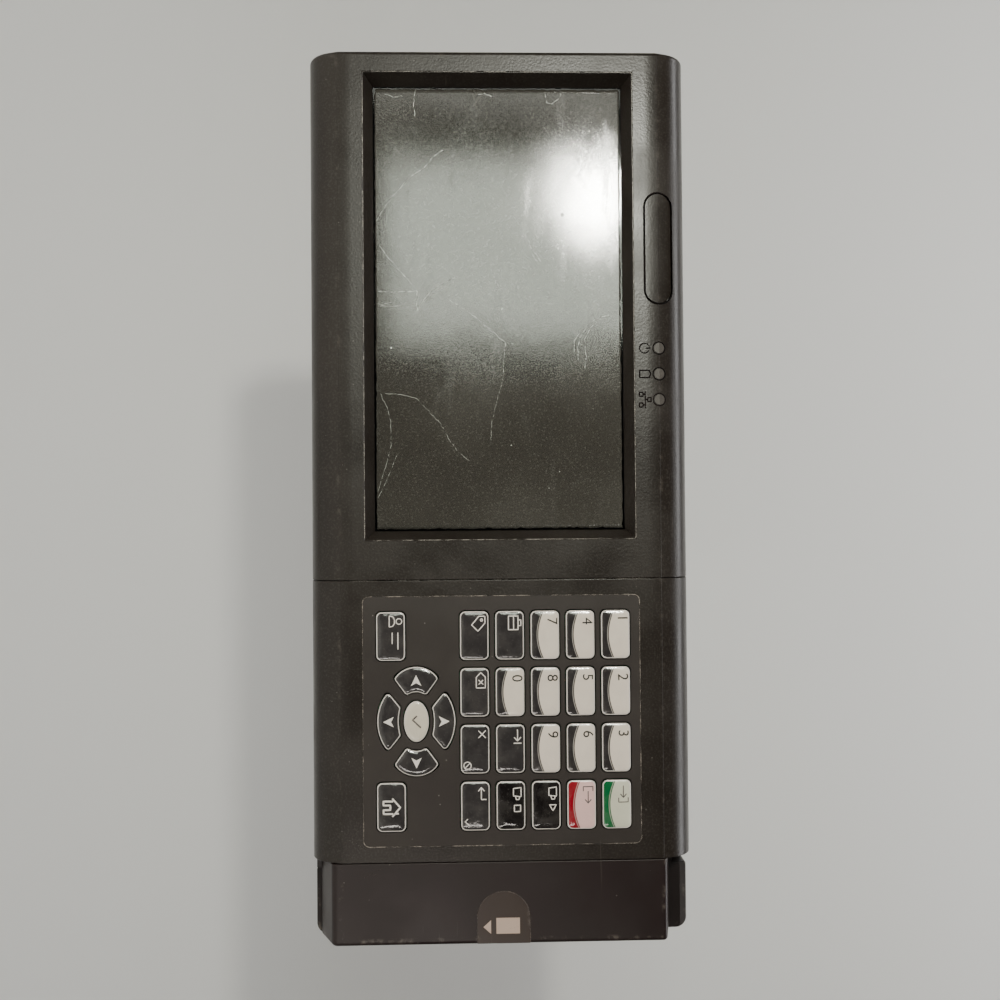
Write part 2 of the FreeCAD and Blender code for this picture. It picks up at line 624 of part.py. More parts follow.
def makeHeadSpring():
    """Torsion spring round the barrel, shown as its wound sleeve and one leg along the arm."""
    at = V(headX - 3.2, yOf(pivotDepth), pivotZ)
    hole = Part.makeCylinder(barrelRadius + 0.05, 3.0, at, V(1, 0, 0))
    coil = Part.makeCylinder(2.3, 3.0, at, V(1, 0, 0)).cut(hole)
    coil = coil.cut(block(headX - 10, headX + 10, 5.0, 6.7, pivotZ - 4, pivotZ + 4))
    leg = block(headX - 2.6, headX - 2.0, 4.8, 5.4, -3.0, pivotZ + 0.5)
    return Part.makeCompound([coil, leg])


def makeWallPlate():
    plate = block(-130.0, 130.0, 57.5, overallDepth, -57.0, 57.0, 4.0)
    plate = plate.cut(block(-22.0, 22.0, 50.0, 70.0, -37.0, -3.0, 4.0))
    for side in (-1, 1):
        for z in (-45.0, 45.0):
            plate = plate.cut(rod(side * 70.0, z, 2.5, 50.0, 70.0))
        plate = plate.cut(rod(side * 41.65, 20.0, 2.2, 50.0, 70.0))
        for z in hookZ:
            x0, x1 = side * hookX - 7.0, side * hookX + 7.0
            plate = plate.fuse(block(x0, x1, 49.2, 58.0, z, z + 5.8))
            plate = plate.fuse(block(x0, x1, 49.2, 51.3, z, z + 11.0))
    tab = block(-8.0, 8.0, 54.6, 58.0, -60.0, -56.0)
    hole = Part.makeCylinder(1.55, 20, V(0, yOf(lockDepth), -66), V(0, 0, 1))
    return plate.fuse(tab).cut(hole)


def makeLockScrew():
    seat = -rearBackHalf - 0.3
    shank = Part.makeCylinder(1.5, 12.0, V(0, yOf(lockDepth), seat - 0.3), V(0, 0, 1))
    head = Part.makeCylinder(2.4, 1.8, V(0, yOf(lockDepth), seat - 1.8), V(0, 0, 1))
    recess = Part.makeCylinder(1.0, 1.2, V(0, yOf(lockDepth), seat - 2.0), V(0, 0, 1))
    return shank.fuse(head).cut(recess)


def makeScrews():
    screws = [screwAt(x, z, postJoint + 4.0) for x, z in casePosts]
    screws += [screwAt(x, z, mainBoardDepth, -1) for x, z in boardPosts]
    screws += [screwAt(x, z, bracketDepth + bracketThick) for x, z in bracketPosts]
    return Part.makeCompound(screws)


os.makedirs("parts", exist_ok=True)
makers = {
    "display_bezel": makeDisplayBezel, "keypad_bezel": makeKeypadBezel, "reader_cover": makeReaderCover,
    "slot_plate": makeSlotPlate, "card_guide": makeCardGuide, "rear_housing": makeRearHousing,
    "option_cover": makeOptionCover, "swipe_label": makeLabel, "led_lenses": makeLenses,
    "touch_glass": makeGlass, "screen_film": makeFilm, "display_gasket": makeGasket,
    "lcd_panel": makePanel, "lcd_bracket": makeBracket, "keypad_overlay": makeOverlay,
    "keypad_board": makeKeypadBoard, "keypad_domes": makeDomes, "led_board": makeLedBoard,
    "main_board": makeMainBoard, "board_parts": makeBoardParts, "ethernet_jack": makeEthernetJack,
    "usb_port": makeUsbPort, "power_jack": makePowerJack, "battery_pack": makeBattery,
    "ribbons": makeRibbons, "reader_board": makeReaderBoard, "head_arm": makeArm,
    "read_head": makeHead, "head_pivot_pin": makePin, "head_spring": makeHeadSpring,
    "wall_plate": makeWallPlate, "lock_screw": makeLockScrew, "m3_screws": makeScrews,
}
for nodeName, maker in makers.items():
    save(nodeName, maker())
for nodeName in allKeys:
    save(nodeName, makeKey(nodeName))
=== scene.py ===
import bpy
import json
import math
from mathutils import Euler, Matrix, Vector
from mathutils import noise as meshNoise
from mathutils.bvhtree import BVHTree

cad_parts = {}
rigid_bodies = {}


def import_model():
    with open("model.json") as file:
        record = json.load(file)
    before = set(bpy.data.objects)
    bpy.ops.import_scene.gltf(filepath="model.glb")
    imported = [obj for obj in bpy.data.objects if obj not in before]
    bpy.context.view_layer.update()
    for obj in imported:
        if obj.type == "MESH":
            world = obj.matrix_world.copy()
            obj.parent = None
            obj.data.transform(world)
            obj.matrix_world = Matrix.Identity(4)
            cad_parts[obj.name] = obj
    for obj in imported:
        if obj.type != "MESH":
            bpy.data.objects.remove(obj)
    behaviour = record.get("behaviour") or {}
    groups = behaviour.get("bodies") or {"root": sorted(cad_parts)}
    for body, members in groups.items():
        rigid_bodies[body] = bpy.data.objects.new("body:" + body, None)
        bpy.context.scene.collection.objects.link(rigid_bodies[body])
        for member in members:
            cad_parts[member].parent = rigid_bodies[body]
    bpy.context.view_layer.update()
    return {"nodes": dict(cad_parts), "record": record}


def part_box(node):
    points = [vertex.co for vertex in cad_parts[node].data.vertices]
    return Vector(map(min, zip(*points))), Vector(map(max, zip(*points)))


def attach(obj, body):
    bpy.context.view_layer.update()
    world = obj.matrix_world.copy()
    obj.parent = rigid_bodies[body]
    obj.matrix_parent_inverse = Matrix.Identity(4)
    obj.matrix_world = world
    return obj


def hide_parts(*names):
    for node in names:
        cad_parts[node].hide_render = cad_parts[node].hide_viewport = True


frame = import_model()
mm = 0.001
print("frame loaded:", len(frame["nodes"]), "nodes")

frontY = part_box("display_bezel")[0].y      # the flat front of the terminal
keyNames = sorted(n for n in frame["nodes"] if n.startswith("key_"))
finishOf = {part["node"]: part["material_slot"] for part in frame["record"]["subparts"]}


def nodeCentre(name):
    low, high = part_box(name)
    return (low.x + high.x) / 2, (low.z + high.z) / 2


# small helpers for the shader trees
def newMaterial(name, colour, roughness, **plain):
    material = bpy.data.materials.new(name)
    material.use_nodes = True
    shader = material.node_tree.nodes["Principled BSDF"]
    shader.inputs["Base Color"].default_value = (*colour, 1)
    shader.inputs["Roughness"].default_value = roughness
    for socket, value in plain.items():
        shader.inputs[socket.replace("_", " ")].default_value = value
    return material, shader


def newGroup(name, inputs, outputs):
    group = bpy.data.node_groups.new(name, "ShaderNodeTree")
    for label, kind, value in inputs:
        socket = group.interface.new_socket(label, in_out="INPUT", socket_type=kind)
        socket.default_value = value
    for label, kind in outputs:
        group.interface.new_socket(label, in_out="OUTPUT", socket_type=kind)
    return group, group.nodes.new("NodeGroupInput"), group.nodes.new("NodeGroupOutput")


def feed(tree, value, socket):
    if isinstance(value, (int, float)):
        socket.default_value = value
    elif isinstance(value, tuple):
        socket.default_value = (*value, 1) if len(value) == 3 and socket.type == "RGBA" else value
    else:
        tree.links.new(value, socket)


def mathNode(tree, operation, a, b=None, c=None, clamp=False):
    node = tree.nodes.new("ShaderNodeMath")
    node.operation, node.use_clamp = operation, clamp
    for socket, value in zip(node.inputs, (a, b, c)):
        if value is not None:
            feed(tree, value, socket)
    return node.outputs[0]


def noiseNode(tree, vector, scale, detail=2.0, rough=0.5):
    node = tree.nodes.new("ShaderNodeTexNoise")
    feed(tree, vector, node.inputs["Vector"])
    feed(tree, scale, node.inputs["Scale"])
    node.inputs["Detail"].default_value = detail
    node.inputs["Roughness"].default_value = rough
    return node.outputs["Fac"]


def rampNode(tree, value, low, high):
    node = tree.nodes.new("ShaderNodeMapRange")
    node.interpolation_type = "SMOOTHSTEP"
    feed(tree, value, node.inputs["Value"])
    feed(tree, low, node.inputs["From Min"])
    feed(tree, high, node.inputs["From Max"])
    return node.outputs["Result"]


def mixColour(tree, factor, a, b):
    node = tree.nodes.new("ShaderNodeMix")
    node.data_type = "RGBA"
    feed(tree, factor, node.inputs["Factor"])
    colours = [s for s in node.inputs if s.type == "RGBA"]
    feed(tree, a, colours[0])
    feed(tree, b, colours[1])
    return [s for s in node.outputs if s.type == "RGBA"][0]


def stretched(tree, vector, scale, turn=(0.0, 0.0, 0.0)):
    node = tree.nodes.new("ShaderNodeMapping")
    node.inputs["Rotation"].default_value = turn
    node.inputs["Scale"].default_value = scale
    feed(tree, vector, node.inputs["Vector"])
    return node.outputs["Vector"]


def objectCoords(tree):
    return tree.nodes.new("ShaderNodeTexCoord").outputs["Object"]


def placeGroup(tree, group, **values):
    node = tree.nodes.new("ShaderNodeGroup")
    node.node_tree = group
    tree.links.new(objectCoords(tree), node.inputs["Vector"])
    for label, value in values.items():
        node.inputs[label].default_value = value
    return node


def bumpInto(tree, shader, height, strength, distance):
    bump = tree.nodes.new("ShaderNodeBump")
    bump.inputs["Strength"].default_value = strength
    bump.inputs["Distance"].default_value = distance
    tree.links.new(height, bump.inputs["Height"])
    tree.links.new(bump.outputs["Normal"], shader.inputs["Normal"])


# small helpers for the pieces
def deselectAll():
    if bpy.context.object and bpy.context.object.mode != "OBJECT":
        bpy.ops.object.mode_set(mode="OBJECT")
    bpy.ops.object.select_all(action="DESELECT")


def makeActive(piece):
    deselectAll()
    piece.select_set(True)
    bpy.context.view_layer.objects.active = piece


def editAll(piece):
    makeActive(piece)
    bpy.ops.object.mode_set(mode="EDIT")
    bpy.ops.mesh.select_mode(type="FACE")
    bpy.ops.mesh.select_all(action="SELECT")


def closeUp(piece):
    # merges doubles and turns the faces outwards
    editAll(piece)
    bpy.ops.mesh.remove_doubles(threshold=1e-7)
    bpy.ops.mesh.normals_make_consistent(inside=False)
    bpy.ops.object.mode_set(mode="OBJECT")


def applyModifier(piece, kind, **values):
    modifier = piece.modifiers.new(kind.lower(), kind)
    for label, value in values.items():
        setattr(modifier, label, value)
    bpy.context.view_layer.objects.active = piece
    bpy.ops.object.modifier_apply(modifier=modifier.name)


def settle(piece, name, body, material=None):
    # the place goes into the mesh, and the piece rides its body
    makeActive(piece)
    bpy.ops.object.transform_apply(location=True, rotation=True, scale=True)
    piece.name = piece.data.name = name
    if material is not None:
        piece.data.materials.clear()
        piece.data.materials.append(material)
    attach(piece, body)
    return piece


def roundedPlate(name, centre, width, height, radius, y, segments=6, cuts=0):
    # a flat plate that faces the front, with rounded corners
    deselectAll()
    bpy.ops.mesh.primitive_plane_add(size=1, location=(centre[0], y, centre[1]), rotation=(math.pi / 2, 0, 0))
    plate = bpy.context.object
    plate.name = name
    plate.scale = (width, height, 1)
    bpy.ops.object.transform_apply(location=True, rotation=True, scale=True)
    bpy.ops.object.mode_set(mode="EDIT")
    bpy.ops.mesh.select_mode(type="VERT")
    bpy.ops.mesh.select_all(action="SELECT")
    bpy.ops.mesh.bevel(offset=radius, segments=segments, affect="VERTICES")
    if cuts:
        # the straight sides are divided too, so that they can bow with the corners
        bpy.ops.mesh.select_mode(type="EDGE")
        bpy.ops.mesh.select_all(action="DESELECT")
        bpy.ops.object.mode_set(mode="OBJECT")
        for edge in plate.data.edges:
            a, b = (plate.data.vertices[i].co for i in edge.vertices)
            edge.select = (a - b).length > 1.6 * radius
        bpy.ops.object.mode_set(mode="EDIT")
        bpy.ops.mesh.subdivide(number_cuts=cuts)
    bpy.ops.object.mode_set(mode="OBJECT")
    return plate


def shapedPlate(name, outline, y):
    # a flat plate that faces the front, with any outline
    deselectAll()
    bpy.ops.mesh.primitive_circle_add(vertices=len(outline), fill_type="NGON", rotation=(math.pi / 2, 0, 0))
    plate = bpy.context.object
    plate.name = name
    bpy.ops.object.transform_apply(location=True, rotation=True, scale=True)
    for vertex, (x, z) in zip(plate.data.vertices, outline):
        vertex.co = (x, y, z)
    plate.data.update()
    if plate.data.polygons[0].normal.y > 0:
        editAll(plate)
        bpy.ops.mesh.flip_normals()
        bpy.ops.object.mode_set(mode="OBJECT")
    return plate


def thicken(plate, depth):
    # pulls a flat plate out towards the front and closes it
    editAll(plate)
    bpy.ops.mesh.extrude_region_move(TRANSFORM_OT_translate={"value": (0, -depth, 0)})
    bpy.ops.object.mode_set(mode="OBJECT")
    closeUp(plate)


def penStrokes(name, lines, width, centre, flat=0.10):
    # line work in round pen strokes, pressed nearly flat on y = 0; a line that ends where it starts is a loop
    curve = bpy.data.curves.new(name, "CURVE")
    curve.dimensions = "3D"
    curve.bevel_depth = width / 2 * mm
    curve.bevel_resolution = 1
    curve.use_fill_caps = True
    for points in lines:
        points = denseLine(points)
        loop = points[0] == points[-1]
        points = points[:-1] if loop else points
        spline = curve.splines.new("POLY")
        spline.points.add(len(points) - 1)
        for target, (u, v) in zip(spline.points, points):
            target.co = (centre[0] + u * mm, 0, centre[1] + v * mm, 1)
        spline.use_cyclic_u = loop
    stroke = bpy.data.objects.new(name, curve)
    bpy.context.scene.collection.objects.link(stroke)
    makeActive(stroke)
    bpy.ops.object.convert(target="MESH")
    piece = bpy.context.object
    for vertex in piece.data.vertices:
        vertex.co.y *= flat
    closeUp(piece)
    return piece


def denseLine(points, step=0.45):
    # more points along a line, so that it can follow a curved surface
    result = []
    for (au, av), (bu, bv) in zip(points[:-1], points[1:]):
        count = max(1, round(math.hypot(bu - au, bv - av) / step))
        result += [(au + (bu - au) * i / count, av + (bv - av) * i / count) for i in range(count)]
    return result + [points[-1]]


def arcLine(cu, cv, radius, start=0, end=360, steps=18):
    points = []
    for i in range(steps + 1):
        a = math.radians(start + (end - start) * i / steps)
        points.append((cu + radius * math.cos(a), cv + radius * math.sin(a)))
    if end - start == 360:
        points[-1] = points[0]
    return points


def drape(piece, unders, lift):
    # lets a flat print follow the surfaces behind it, keeping its own thickness
    trees = [BVHTree.FromPolygons([v.co.copy() for v in under.data.vertices],
                                  [tuple(p.vertices) for p in under.data.polygons]) for under in unders]
    for vertex in piece.data.vertices:
        start = Vector((vertex.co.x, frontY - 0.05, vertex.co.z))
        hits = [tree.ray_cast(start, Vector((0, 1, 0)))[0] for tree in trees]
        vertex.co.y += min([hit.y for hit in hits if hit is not None] or [frontY]) - lift


# stage, camera and lights
stageSizes = {"floorZ": -0.30, "wallY": 0.34, "halfWidth": 1.6, "front": -1.6, "top": 1.3,
              "sweepRadius": 0.20, "sweepSteps": 10}
cameraPlace = {"location": (0.0084, -0.4658, -0.0126), "tilt": (0.0164, -0.0304, -0.0077), "lens": 41.2}
lampPlaces = {
    # name: place, width and height, energy, colour
    "windowPanel": ((-0.262, -0.80, 0.048), (0.18, 0.28), 1.5, (0.93, 1.0, 0.86)),
    "sideStrip": ((-0.43, -0.80, 0.02), (0.03, 0.28), 0.085, (0.97, 1.0, 0.90)),
    "hotBulb": ((-0.29, -0.70, 0.112), (0.046, 0.042), 3.0, (1.0, 0.99, 0.88)),
    "lowStrip": ((0.16, -0.48, -0.31), (0.34, 0.02), 0.75, (1.0, 0.94, 0.86)),
    "topStrip": ((0.05, -0.25, 0.62), (0.70, 0.10), 0.22, (0.96, 0.98, 1.0)),
    "keyRing": ((0.36, -0.55, -0.10), (0.02, 0.26), 0.45, (1.0, 0.93, 0.86)),
    "backdropFill": ((0.0, -0.05, 0.75), (1.2, 0.20), 5.0, (1.0, 1.0, 1.0)),
    "backPanel": ((0.35, 0.80, 0.30), (0.60, 0.40), 7.0, (1.0, 0.99, 0.97)),
    "backStrip": ((-0.45, 0.70, -0.05), (0.10, 0.50), 2.5, (1.0, 0.98, 0.95)),
}
lampTargets = {"backdropFill": (0.0, 0.34, -0.05)}
roomLight = {"colour": (0.92, 0.93, 0.95), "seen": 0.55, "cast": 0.030}     # pale to look at, dim as a light


def stageMaterial():
    material, shader = newMaterial("paleStage", (0.80, 0.79, 0.77), 0.85)
    nodes, links = material.node_tree.nodes, material.node_tree.links
    geometry = nodes.new("ShaderNodeNewGeometry")
    clear = nodes.new("ShaderNodeBsdfTransparent")
    mix = nodes.new("ShaderNodeMixShader")      # seen from behind, the sweep is clear
    links.new(geometry.outputs["Backfacing"], mix.inputs["Fac"])
    links.new(shader.outputs["BSDF"], mix.inputs[1])
    links.new(clear.outputs["BSDF"], mix.inputs[2])
    links.new(mix.outputs["Shader"], nodes["Material Output"].inputs["Surface"])
    return material


def makeStage():
    # a floor plane whose far edge is spun up into a wall
    s = stageSizes
    bend = s["wallY"] - s["sweepRadius"]
    deselectAll()
    bpy.ops.mesh.primitive_plane_add(size=1, location=(0, (s["front"] + bend) / 2, s["floorZ"]))
    sweep = bpy.context.object
    sweep.scale = (2 * s["halfWidth"], bend - s["front"], 1)
    bpy.ops.object.transform_apply(location=True, rotation=True, scale=True)
    for vertex in sweep.data.vertices:
        vertex.select = vertex.co.y > bend - 0.001
    for edge in sweep.data.edges:
        edge.select = all(sweep.data.vertices[i].select for i in edge.vertices)
    for polygon in sweep.data.polygons:
        polygon.select = False
    bpy.ops.object.mode_set(mode="EDIT")
    bpy.ops.mesh.select_mode(type="EDGE")
    for i in range(s["sweepSteps"]):
        a, b = (math.radians(90 / s["sweepSteps"] * k) for k in (i, i + 1))
        radius = s["sweepRadius"]
        move = (0, radius * (math.sin(b) - math.sin(a)), radius * (math.cos(a) - math.cos(b)))
        bpy.ops.mesh.extrude_region_move(TRANSFORM_OT_translate={"value": move})
    rise = s["top"] - s["floorZ"] - s["sweepRadius"]
    bpy.ops.mesh.extrude_region_move(TRANSFORM_OT_translate={"value": (0, 0, rise)})
    bpy.ops.object.mode_set(mode="OBJECT")
    bpy.ops.object.shade_smooth()
    sweep.name = "paleSweep"
    sweep.data.materials.append(stageMaterial())


def makeCamera():
    data = bpy.data.cameras.new("camera")
    data.lens = cameraPlace["lens"]
    data.clip_start = 0.01
    camera = bpy.data.objects.new("camera", data)
    bpy.context.scene.collection.objects.link(camera)
    facing = Matrix(((0, -1, 0), (0, 0, -1), (1, 0, 0)))      # looks along +Y, its top towards -X
    tilt = Euler(cameraPlace["tilt"]).to_matrix()
    camera.matrix_world = Matrix.Translation(cameraPlace["location"]) @ (facing @ tilt).to_4x4()
    bpy.context.scene.camera = camera


def makeLamps():
    for name, (place, size, energy, colour) in lampPlaces.items():
        data = bpy.data.lights.new(name, "AREA")
        data.shape = "RECTANGLE"
        data.size, data.size_y = size
        data.energy, data.color = energy, colour
        lamp = bpy.data.objects.new(name, data)
        bpy.context.scene.collection.objects.link(lamp)
        lamp.location = place
        target = Vector(lampTargets.get(name, (0.0, frontY, 0.0)))
        lamp.rotation_euler = (target - Vector(place)).to_track_quat("-Z", "Y").to_euler()
    world = bpy.data.worlds.new("softRoom")
    world.use_nodes = True
    tree = world.node_tree
    background = tree.nodes["Background"]
    background.inputs["Color"].default_value = (*roomLight["colour"], 1)
    seen = tree.nodes.new("ShaderNodeLightPath").outputs["Is Camera Ray"]
    strength = mathNode(tree, "MULTIPLY_ADD", seen, roomLight["seen"] - roomLight["cast"], roomLight["cast"])
    tree.links.new(strength, background.inputs["Strength"])
    bpy.context.scene.world = world


makeStage()
makeCamera()
makeLamps()
print("stage, camera and lamps finished")


# effects that several finishes share
def grainGroup():
    # spark-eroded moulding grain: its height, its pale flecks, and broad uneven patches
    group, inside, outside = newGroup(
        "mouldGrain", [("Vector", "NodeSocketVector", (0, 0, 0)), ("Scale", "NodeSocketFloat", 2600.0)],
        [("Height", "NodeSocketFloat"), ("Flecks", "NodeSocketFloat"), ("Patches", "NodeSocketFloat")])
    fine = noiseNode(group, inside.outputs["Vector"], inside.outputs["Scale"], 3.0, 0.6)
    cells = group.nodes.new("ShaderNodeTexVoronoi")
    cells.feature = "SMOOTH_F1"
    group.links.new(inside.outputs["Vector"], cells.inputs["Vector"])
    group.links.new(inside.outputs["Scale"], cells.inputs["Scale"])
    height = mathNode(group, "ADD", mathNode(group, "MULTIPLY", fine, 0.6),
                      mathNode(group, "MULTIPLY", cells.outputs["Distance"], 0.5))
    patches = noiseNode(group, inside.outputs["Vector"], 38.0, 4.0, 0.55)
    group.links.new(height, outside.inputs["Height"])
    group.links.new(rampNode(group, fine, 0.46, 0.70), outside.inputs["Flecks"])
    group.links.new(rampNode(group, patches, 0.35, 0.68), outside.inputs["Patches"])
    return group


def wearGroup():
    # wear along two level folds and one upright edge, fine scratches, and grains of dust
    group, inside, outside = newGroup(
        "rubbedEdges",
        [("Vector", "NodeSocketVector", (0, 0, 0)), ("FoldZ", "NodeSocketFloat", 0.057),
         ("EndX", "NodeSocketFloat", -0.1585), ("Width", "NodeSocketFloat", 0.0012)],
        [("Wear", "NodeSocketFloat"), ("Scratches", "NodeSocketFloat"), ("Dust", "NodeSocketFloat")])
    split = group.nodes.new("ShaderNodeSeparateXYZ")
    group.links.new(inside.outputs["Vector"], split.inputs[0])
    height = mathNode(group, "ABSOLUTE", split.outputs["Z"])
    fromFold = mathNode(group, "ABSOLUTE", mathNode(group, "SUBTRACT", height, inside.outputs["FoldZ"]))
    pastEnd = mathNode(group, "SUBTRACT", split.outputs["X"], inside.outputs["EndX"])
    nearest = mathNode(group, "MINIMUM", fromFold, mathNode(group, "ABSOLUTE", pastEnd))
    away = mathNode(group, "DIVIDE", nearest, inside.outputs["Width"])
    band = mathNode(group, "SUBTRACT", 1.0, away, clamp=True)
    chips = rampNode(group, noiseNode(group, inside.outputs["Vector"], 210.0, 6.0, 0.7), 0.52, 0.70)
    group.links.new(mathNode(group, "MULTIPLY", band, chips), outside.inputs["Wear"])
    along = stretched(group, inside.outputs["Vector"], (26.0, 60.0, 900.0), (0.0, 0.5, 0.0))
    thin = rampNode(group, noiseNode(group, along, 1.0, 2.0, 0.5), 0.71, 0.75)
    sparse = rampNode(group, noiseNode(group, inside.outputs["Vector"], 24.0, 2.0, 0.5), 0.54, 0.64)
    group.links.new(mathNode(group, "MULTIPLY", thin, sparse), outside.inputs["Scratches"])
    specks = group.nodes.new("ShaderNodeTexVoronoi")
    specks.inputs["Scale"].default_value = 330.0
    group.links.new(inside.outputs["Vector"], specks.inputs["Vector"])
    dot = mathNode(group, "LESS_THAN", specks.outputs["Distance"], 0.075)
    chosen = group.nodes.new("ShaderNodeSeparateColor")
    group.links.new(specks.outputs["Color"], chosen.inputs[0])
    few = mathNode(group, "GREATER_THAN", chosen.outputs[0], 0.86)
    group.links.new(mathNode(group, "MULTIPLY", dot, few), outside.inputs["Dust"])
    return group


def foldGroup():
    # rounds off the look of the two long folds: a height that leans the surface over on each side of them
    group, inside, outside = newGroup(
        "roundedFold",
        [("Vector", "NodeSocketVector", (0, 0, 0)), ("FoldZ", "NodeSocketFloat", 0.057),
         ("Reach", "NodeSocketFloat", 0.005), ("Lean", "NodeSocketFloat", 0.17)],
        [("Height", "NodeSocketFloat")])
    split = group.nodes.new("ShaderNodeSeparateXYZ")
    group.links.new(inside.outputs["Vector"], split.inputs[0])
    height = mathNode(group, "ABSOLUTE", split.outputs["Z"])
    past = mathNode(group, "ABSOLUTE", mathNode(group, "SUBTRACT", height, inside.outputs["FoldZ"]))
    away = mathNode(group, "DIVIDE", past, inside.outputs["Reach"])
    near = mathNode(group, "SUBTRACT", 1.0, away, clamp=True)
    notch = mathNode(group, "MULTIPLY", mathNode(group, "MULTIPLY", near, near), inside.outputs["Reach"])
    depth = mathNode(group, "MULTIPLY", mathNode(group, "MULTIPLY", notch, inside.outputs["Lean"]), -0.5)
    group.links.new(depth, outside.inputs["Height"])
    return group


def brushGroup():
    # drawn or brushed metal: long fine lines, and dull patches where it has been handled
    group, inside, outside = newGroup(
        "brushedLines", [("Vector", "NodeSocketVector", (0, 0, 0)), ("Scale", "NodeSocketFloat", 1.0)],
        [("Lines", "NodeSocketFloat"), ("Dull", "NodeSocketFloat")])
    along = stretched(group, inside.outputs["Vector"], (60.0, 1800.0, 1800.0))
    group.links.new(noiseNode(group, along, inside.outputs["Scale"], 3.0, 0.6), outside.inputs["Lines"])
    dull = noiseNode(group, inside.outputs["Vector"], 70.0, 4.0, 0.6)
    group.links.new(rampNode(group, dull, 0.38, 0.66), outside.inputs["Dull"])
    return group


def fieldGroup():
    # the pale field that hangs from the top of a key down to a shallow bow, read from the key's print map
    group, inside, outside = newGroup("paleField", [("Map", "NodeSocketVector", (0, 0, 0))],
                                      [("Field", "NodeSocketFloat"), ("Border", "NodeSocketFloat")])
    split = group.nodes.new("ShaderNodeSeparateXYZ")
    group.links.new(inside.outputs["Map"], split.inputs[0])
    across = mathNode(group, "MULTIPLY_ADD", split.outputs["X"], 2.0, -1.0)
    bow = mathNode(group, "MULTIPLY_ADD", mathNode(group, "MULTIPLY", across, across), 0.20, 0.275)
    over = mathNode(group, "SUBTRACT", split.outputs["Y"], bow)
    group.links.new(rampNode(group, over, -0.014, 0.014), outside.inputs["Field"])
    edge = mathNode(group, "MULTIPLY", mathNode(group, "ABSOLUTE", mathNode(group, "ADD", over, 0.045)), 45.0)
    group.links.new(mathNode(group, "SUBTRACT", 1.0, edge, clamp=True), outside.inputs["Border"])
    return group


grainNodes = grainGroup()
wearNodes = wearGroup()
foldNodes = foldGroup()
brushNodes = brushGroup()
fieldNodes = fieldGroup()


# moulded plastics and paint; foldZ and endX are the level folds and the upright edge that get rubbed
plainLook = {"foldZ": 0.5, "endX": 0.5, "wear": 0.0, "gloss": 0.40, "dust": 0.30, "softFold": 0.5}
plasticLooks = {
    "housing": dict(
        plainLook, colour=(0.0170, 0.0125, 0.0100), patch=(0.0235, 0.0180, 0.0148), roughness=0.345,
        gloss=0.42, grainScale=1350.0, flecks=0.40, fleckColour=(0.060, 0.054, 0.048), bump=0.42, bumpDepth=0.00012,
        foldZ=0.0572, endX=-0.1570, wear=0.16, dust=0.22, softFold=0.0572),
    "cap": dict(
        plainLook, colour=(0.0155, 0.0080, 0.0078), patch=(0.0195, 0.0125, 0.0118), roughness=0.40,
        grainScale=4200.0, flecks=0.12, fleckColour=(0.055, 0.044, 0.040), bump=0.25, bumpDepth=0.00006,
        foldZ=0.0570, endX=0.1568, wear=0.40),
    "guide": dict(
        plainLook, colour=(0.0110, 0.0070, 0.0068), patch=(0.0140, 0.0095, 0.0092), roughness=0.42,
        grainScale=4200.0, flecks=0.10, fleckColour=(0.045, 0.038, 0.036), bump=0.25, bumpDepth=0.00006,
        foldZ=0.0668, endX=0.1566, wear=0.40),
    "overlay": dict(
        plainLook, colour=(0.0270, 0.0205, 0.0180), patch=(0.0340, 0.0265, 0.0235), roughness=0.50,
        grainScale=5200.0, flecks=0.30, fleckColour=(0.060, 0.049, 0.044), bump=0.30, bumpDepth=0.00004,
        foldZ=0.09, dust=0.45),
    "label": dict(
        plainLook, colour=(0.034, 0.022, 0.018), patch=(0.044, 0.029, 0.024), roughness=0.36,
        grainScale=6000.0, flecks=0.25, fleckColour=(0.085, 0.066, 0.055), bump=0.20, bumpDepth=0.00003,
        foldZ=0.0092, wear=0.55, dust=0.50),
    "socketPlastic": dict(
        plainLook, colour=(0.012, 0.012, 0.013), patch=(0.016, 0.016, 0.017), roughness=0.35, gloss=0.50,
        grainScale=5200.0, flecks=0.10, fleckColour=(0.04, 0.04, 0.04), bump=0.15, bumpDepth=0.00003),
    "moulding": dict(
        plainLook, colour=(0.018, 0.018, 0.019), patch=(0.024, 0.024, 0.026), roughness=0.62,
        grainScale=6500.0, flecks=0.20, fleckColour=(0.05, 0.05, 0.052), bump=0.30, bumpDepth=0.00003,
        dust=0.10),
    "platePaint": dict(
        plainLook, colour=(0.115, 0.112, 0.106), patch=(0.140, 0.136, 0.128), roughness=0.52, gloss=0.45,
        grainScale=3000.0, flecks=0.30, fleckColour=(0.20, 0.195, 0.185), bump=0.45, bumpDepth=0.00010,
        foldZ=0.0520, endX=-0.1280, wear=0.60, dust=0.40),
}


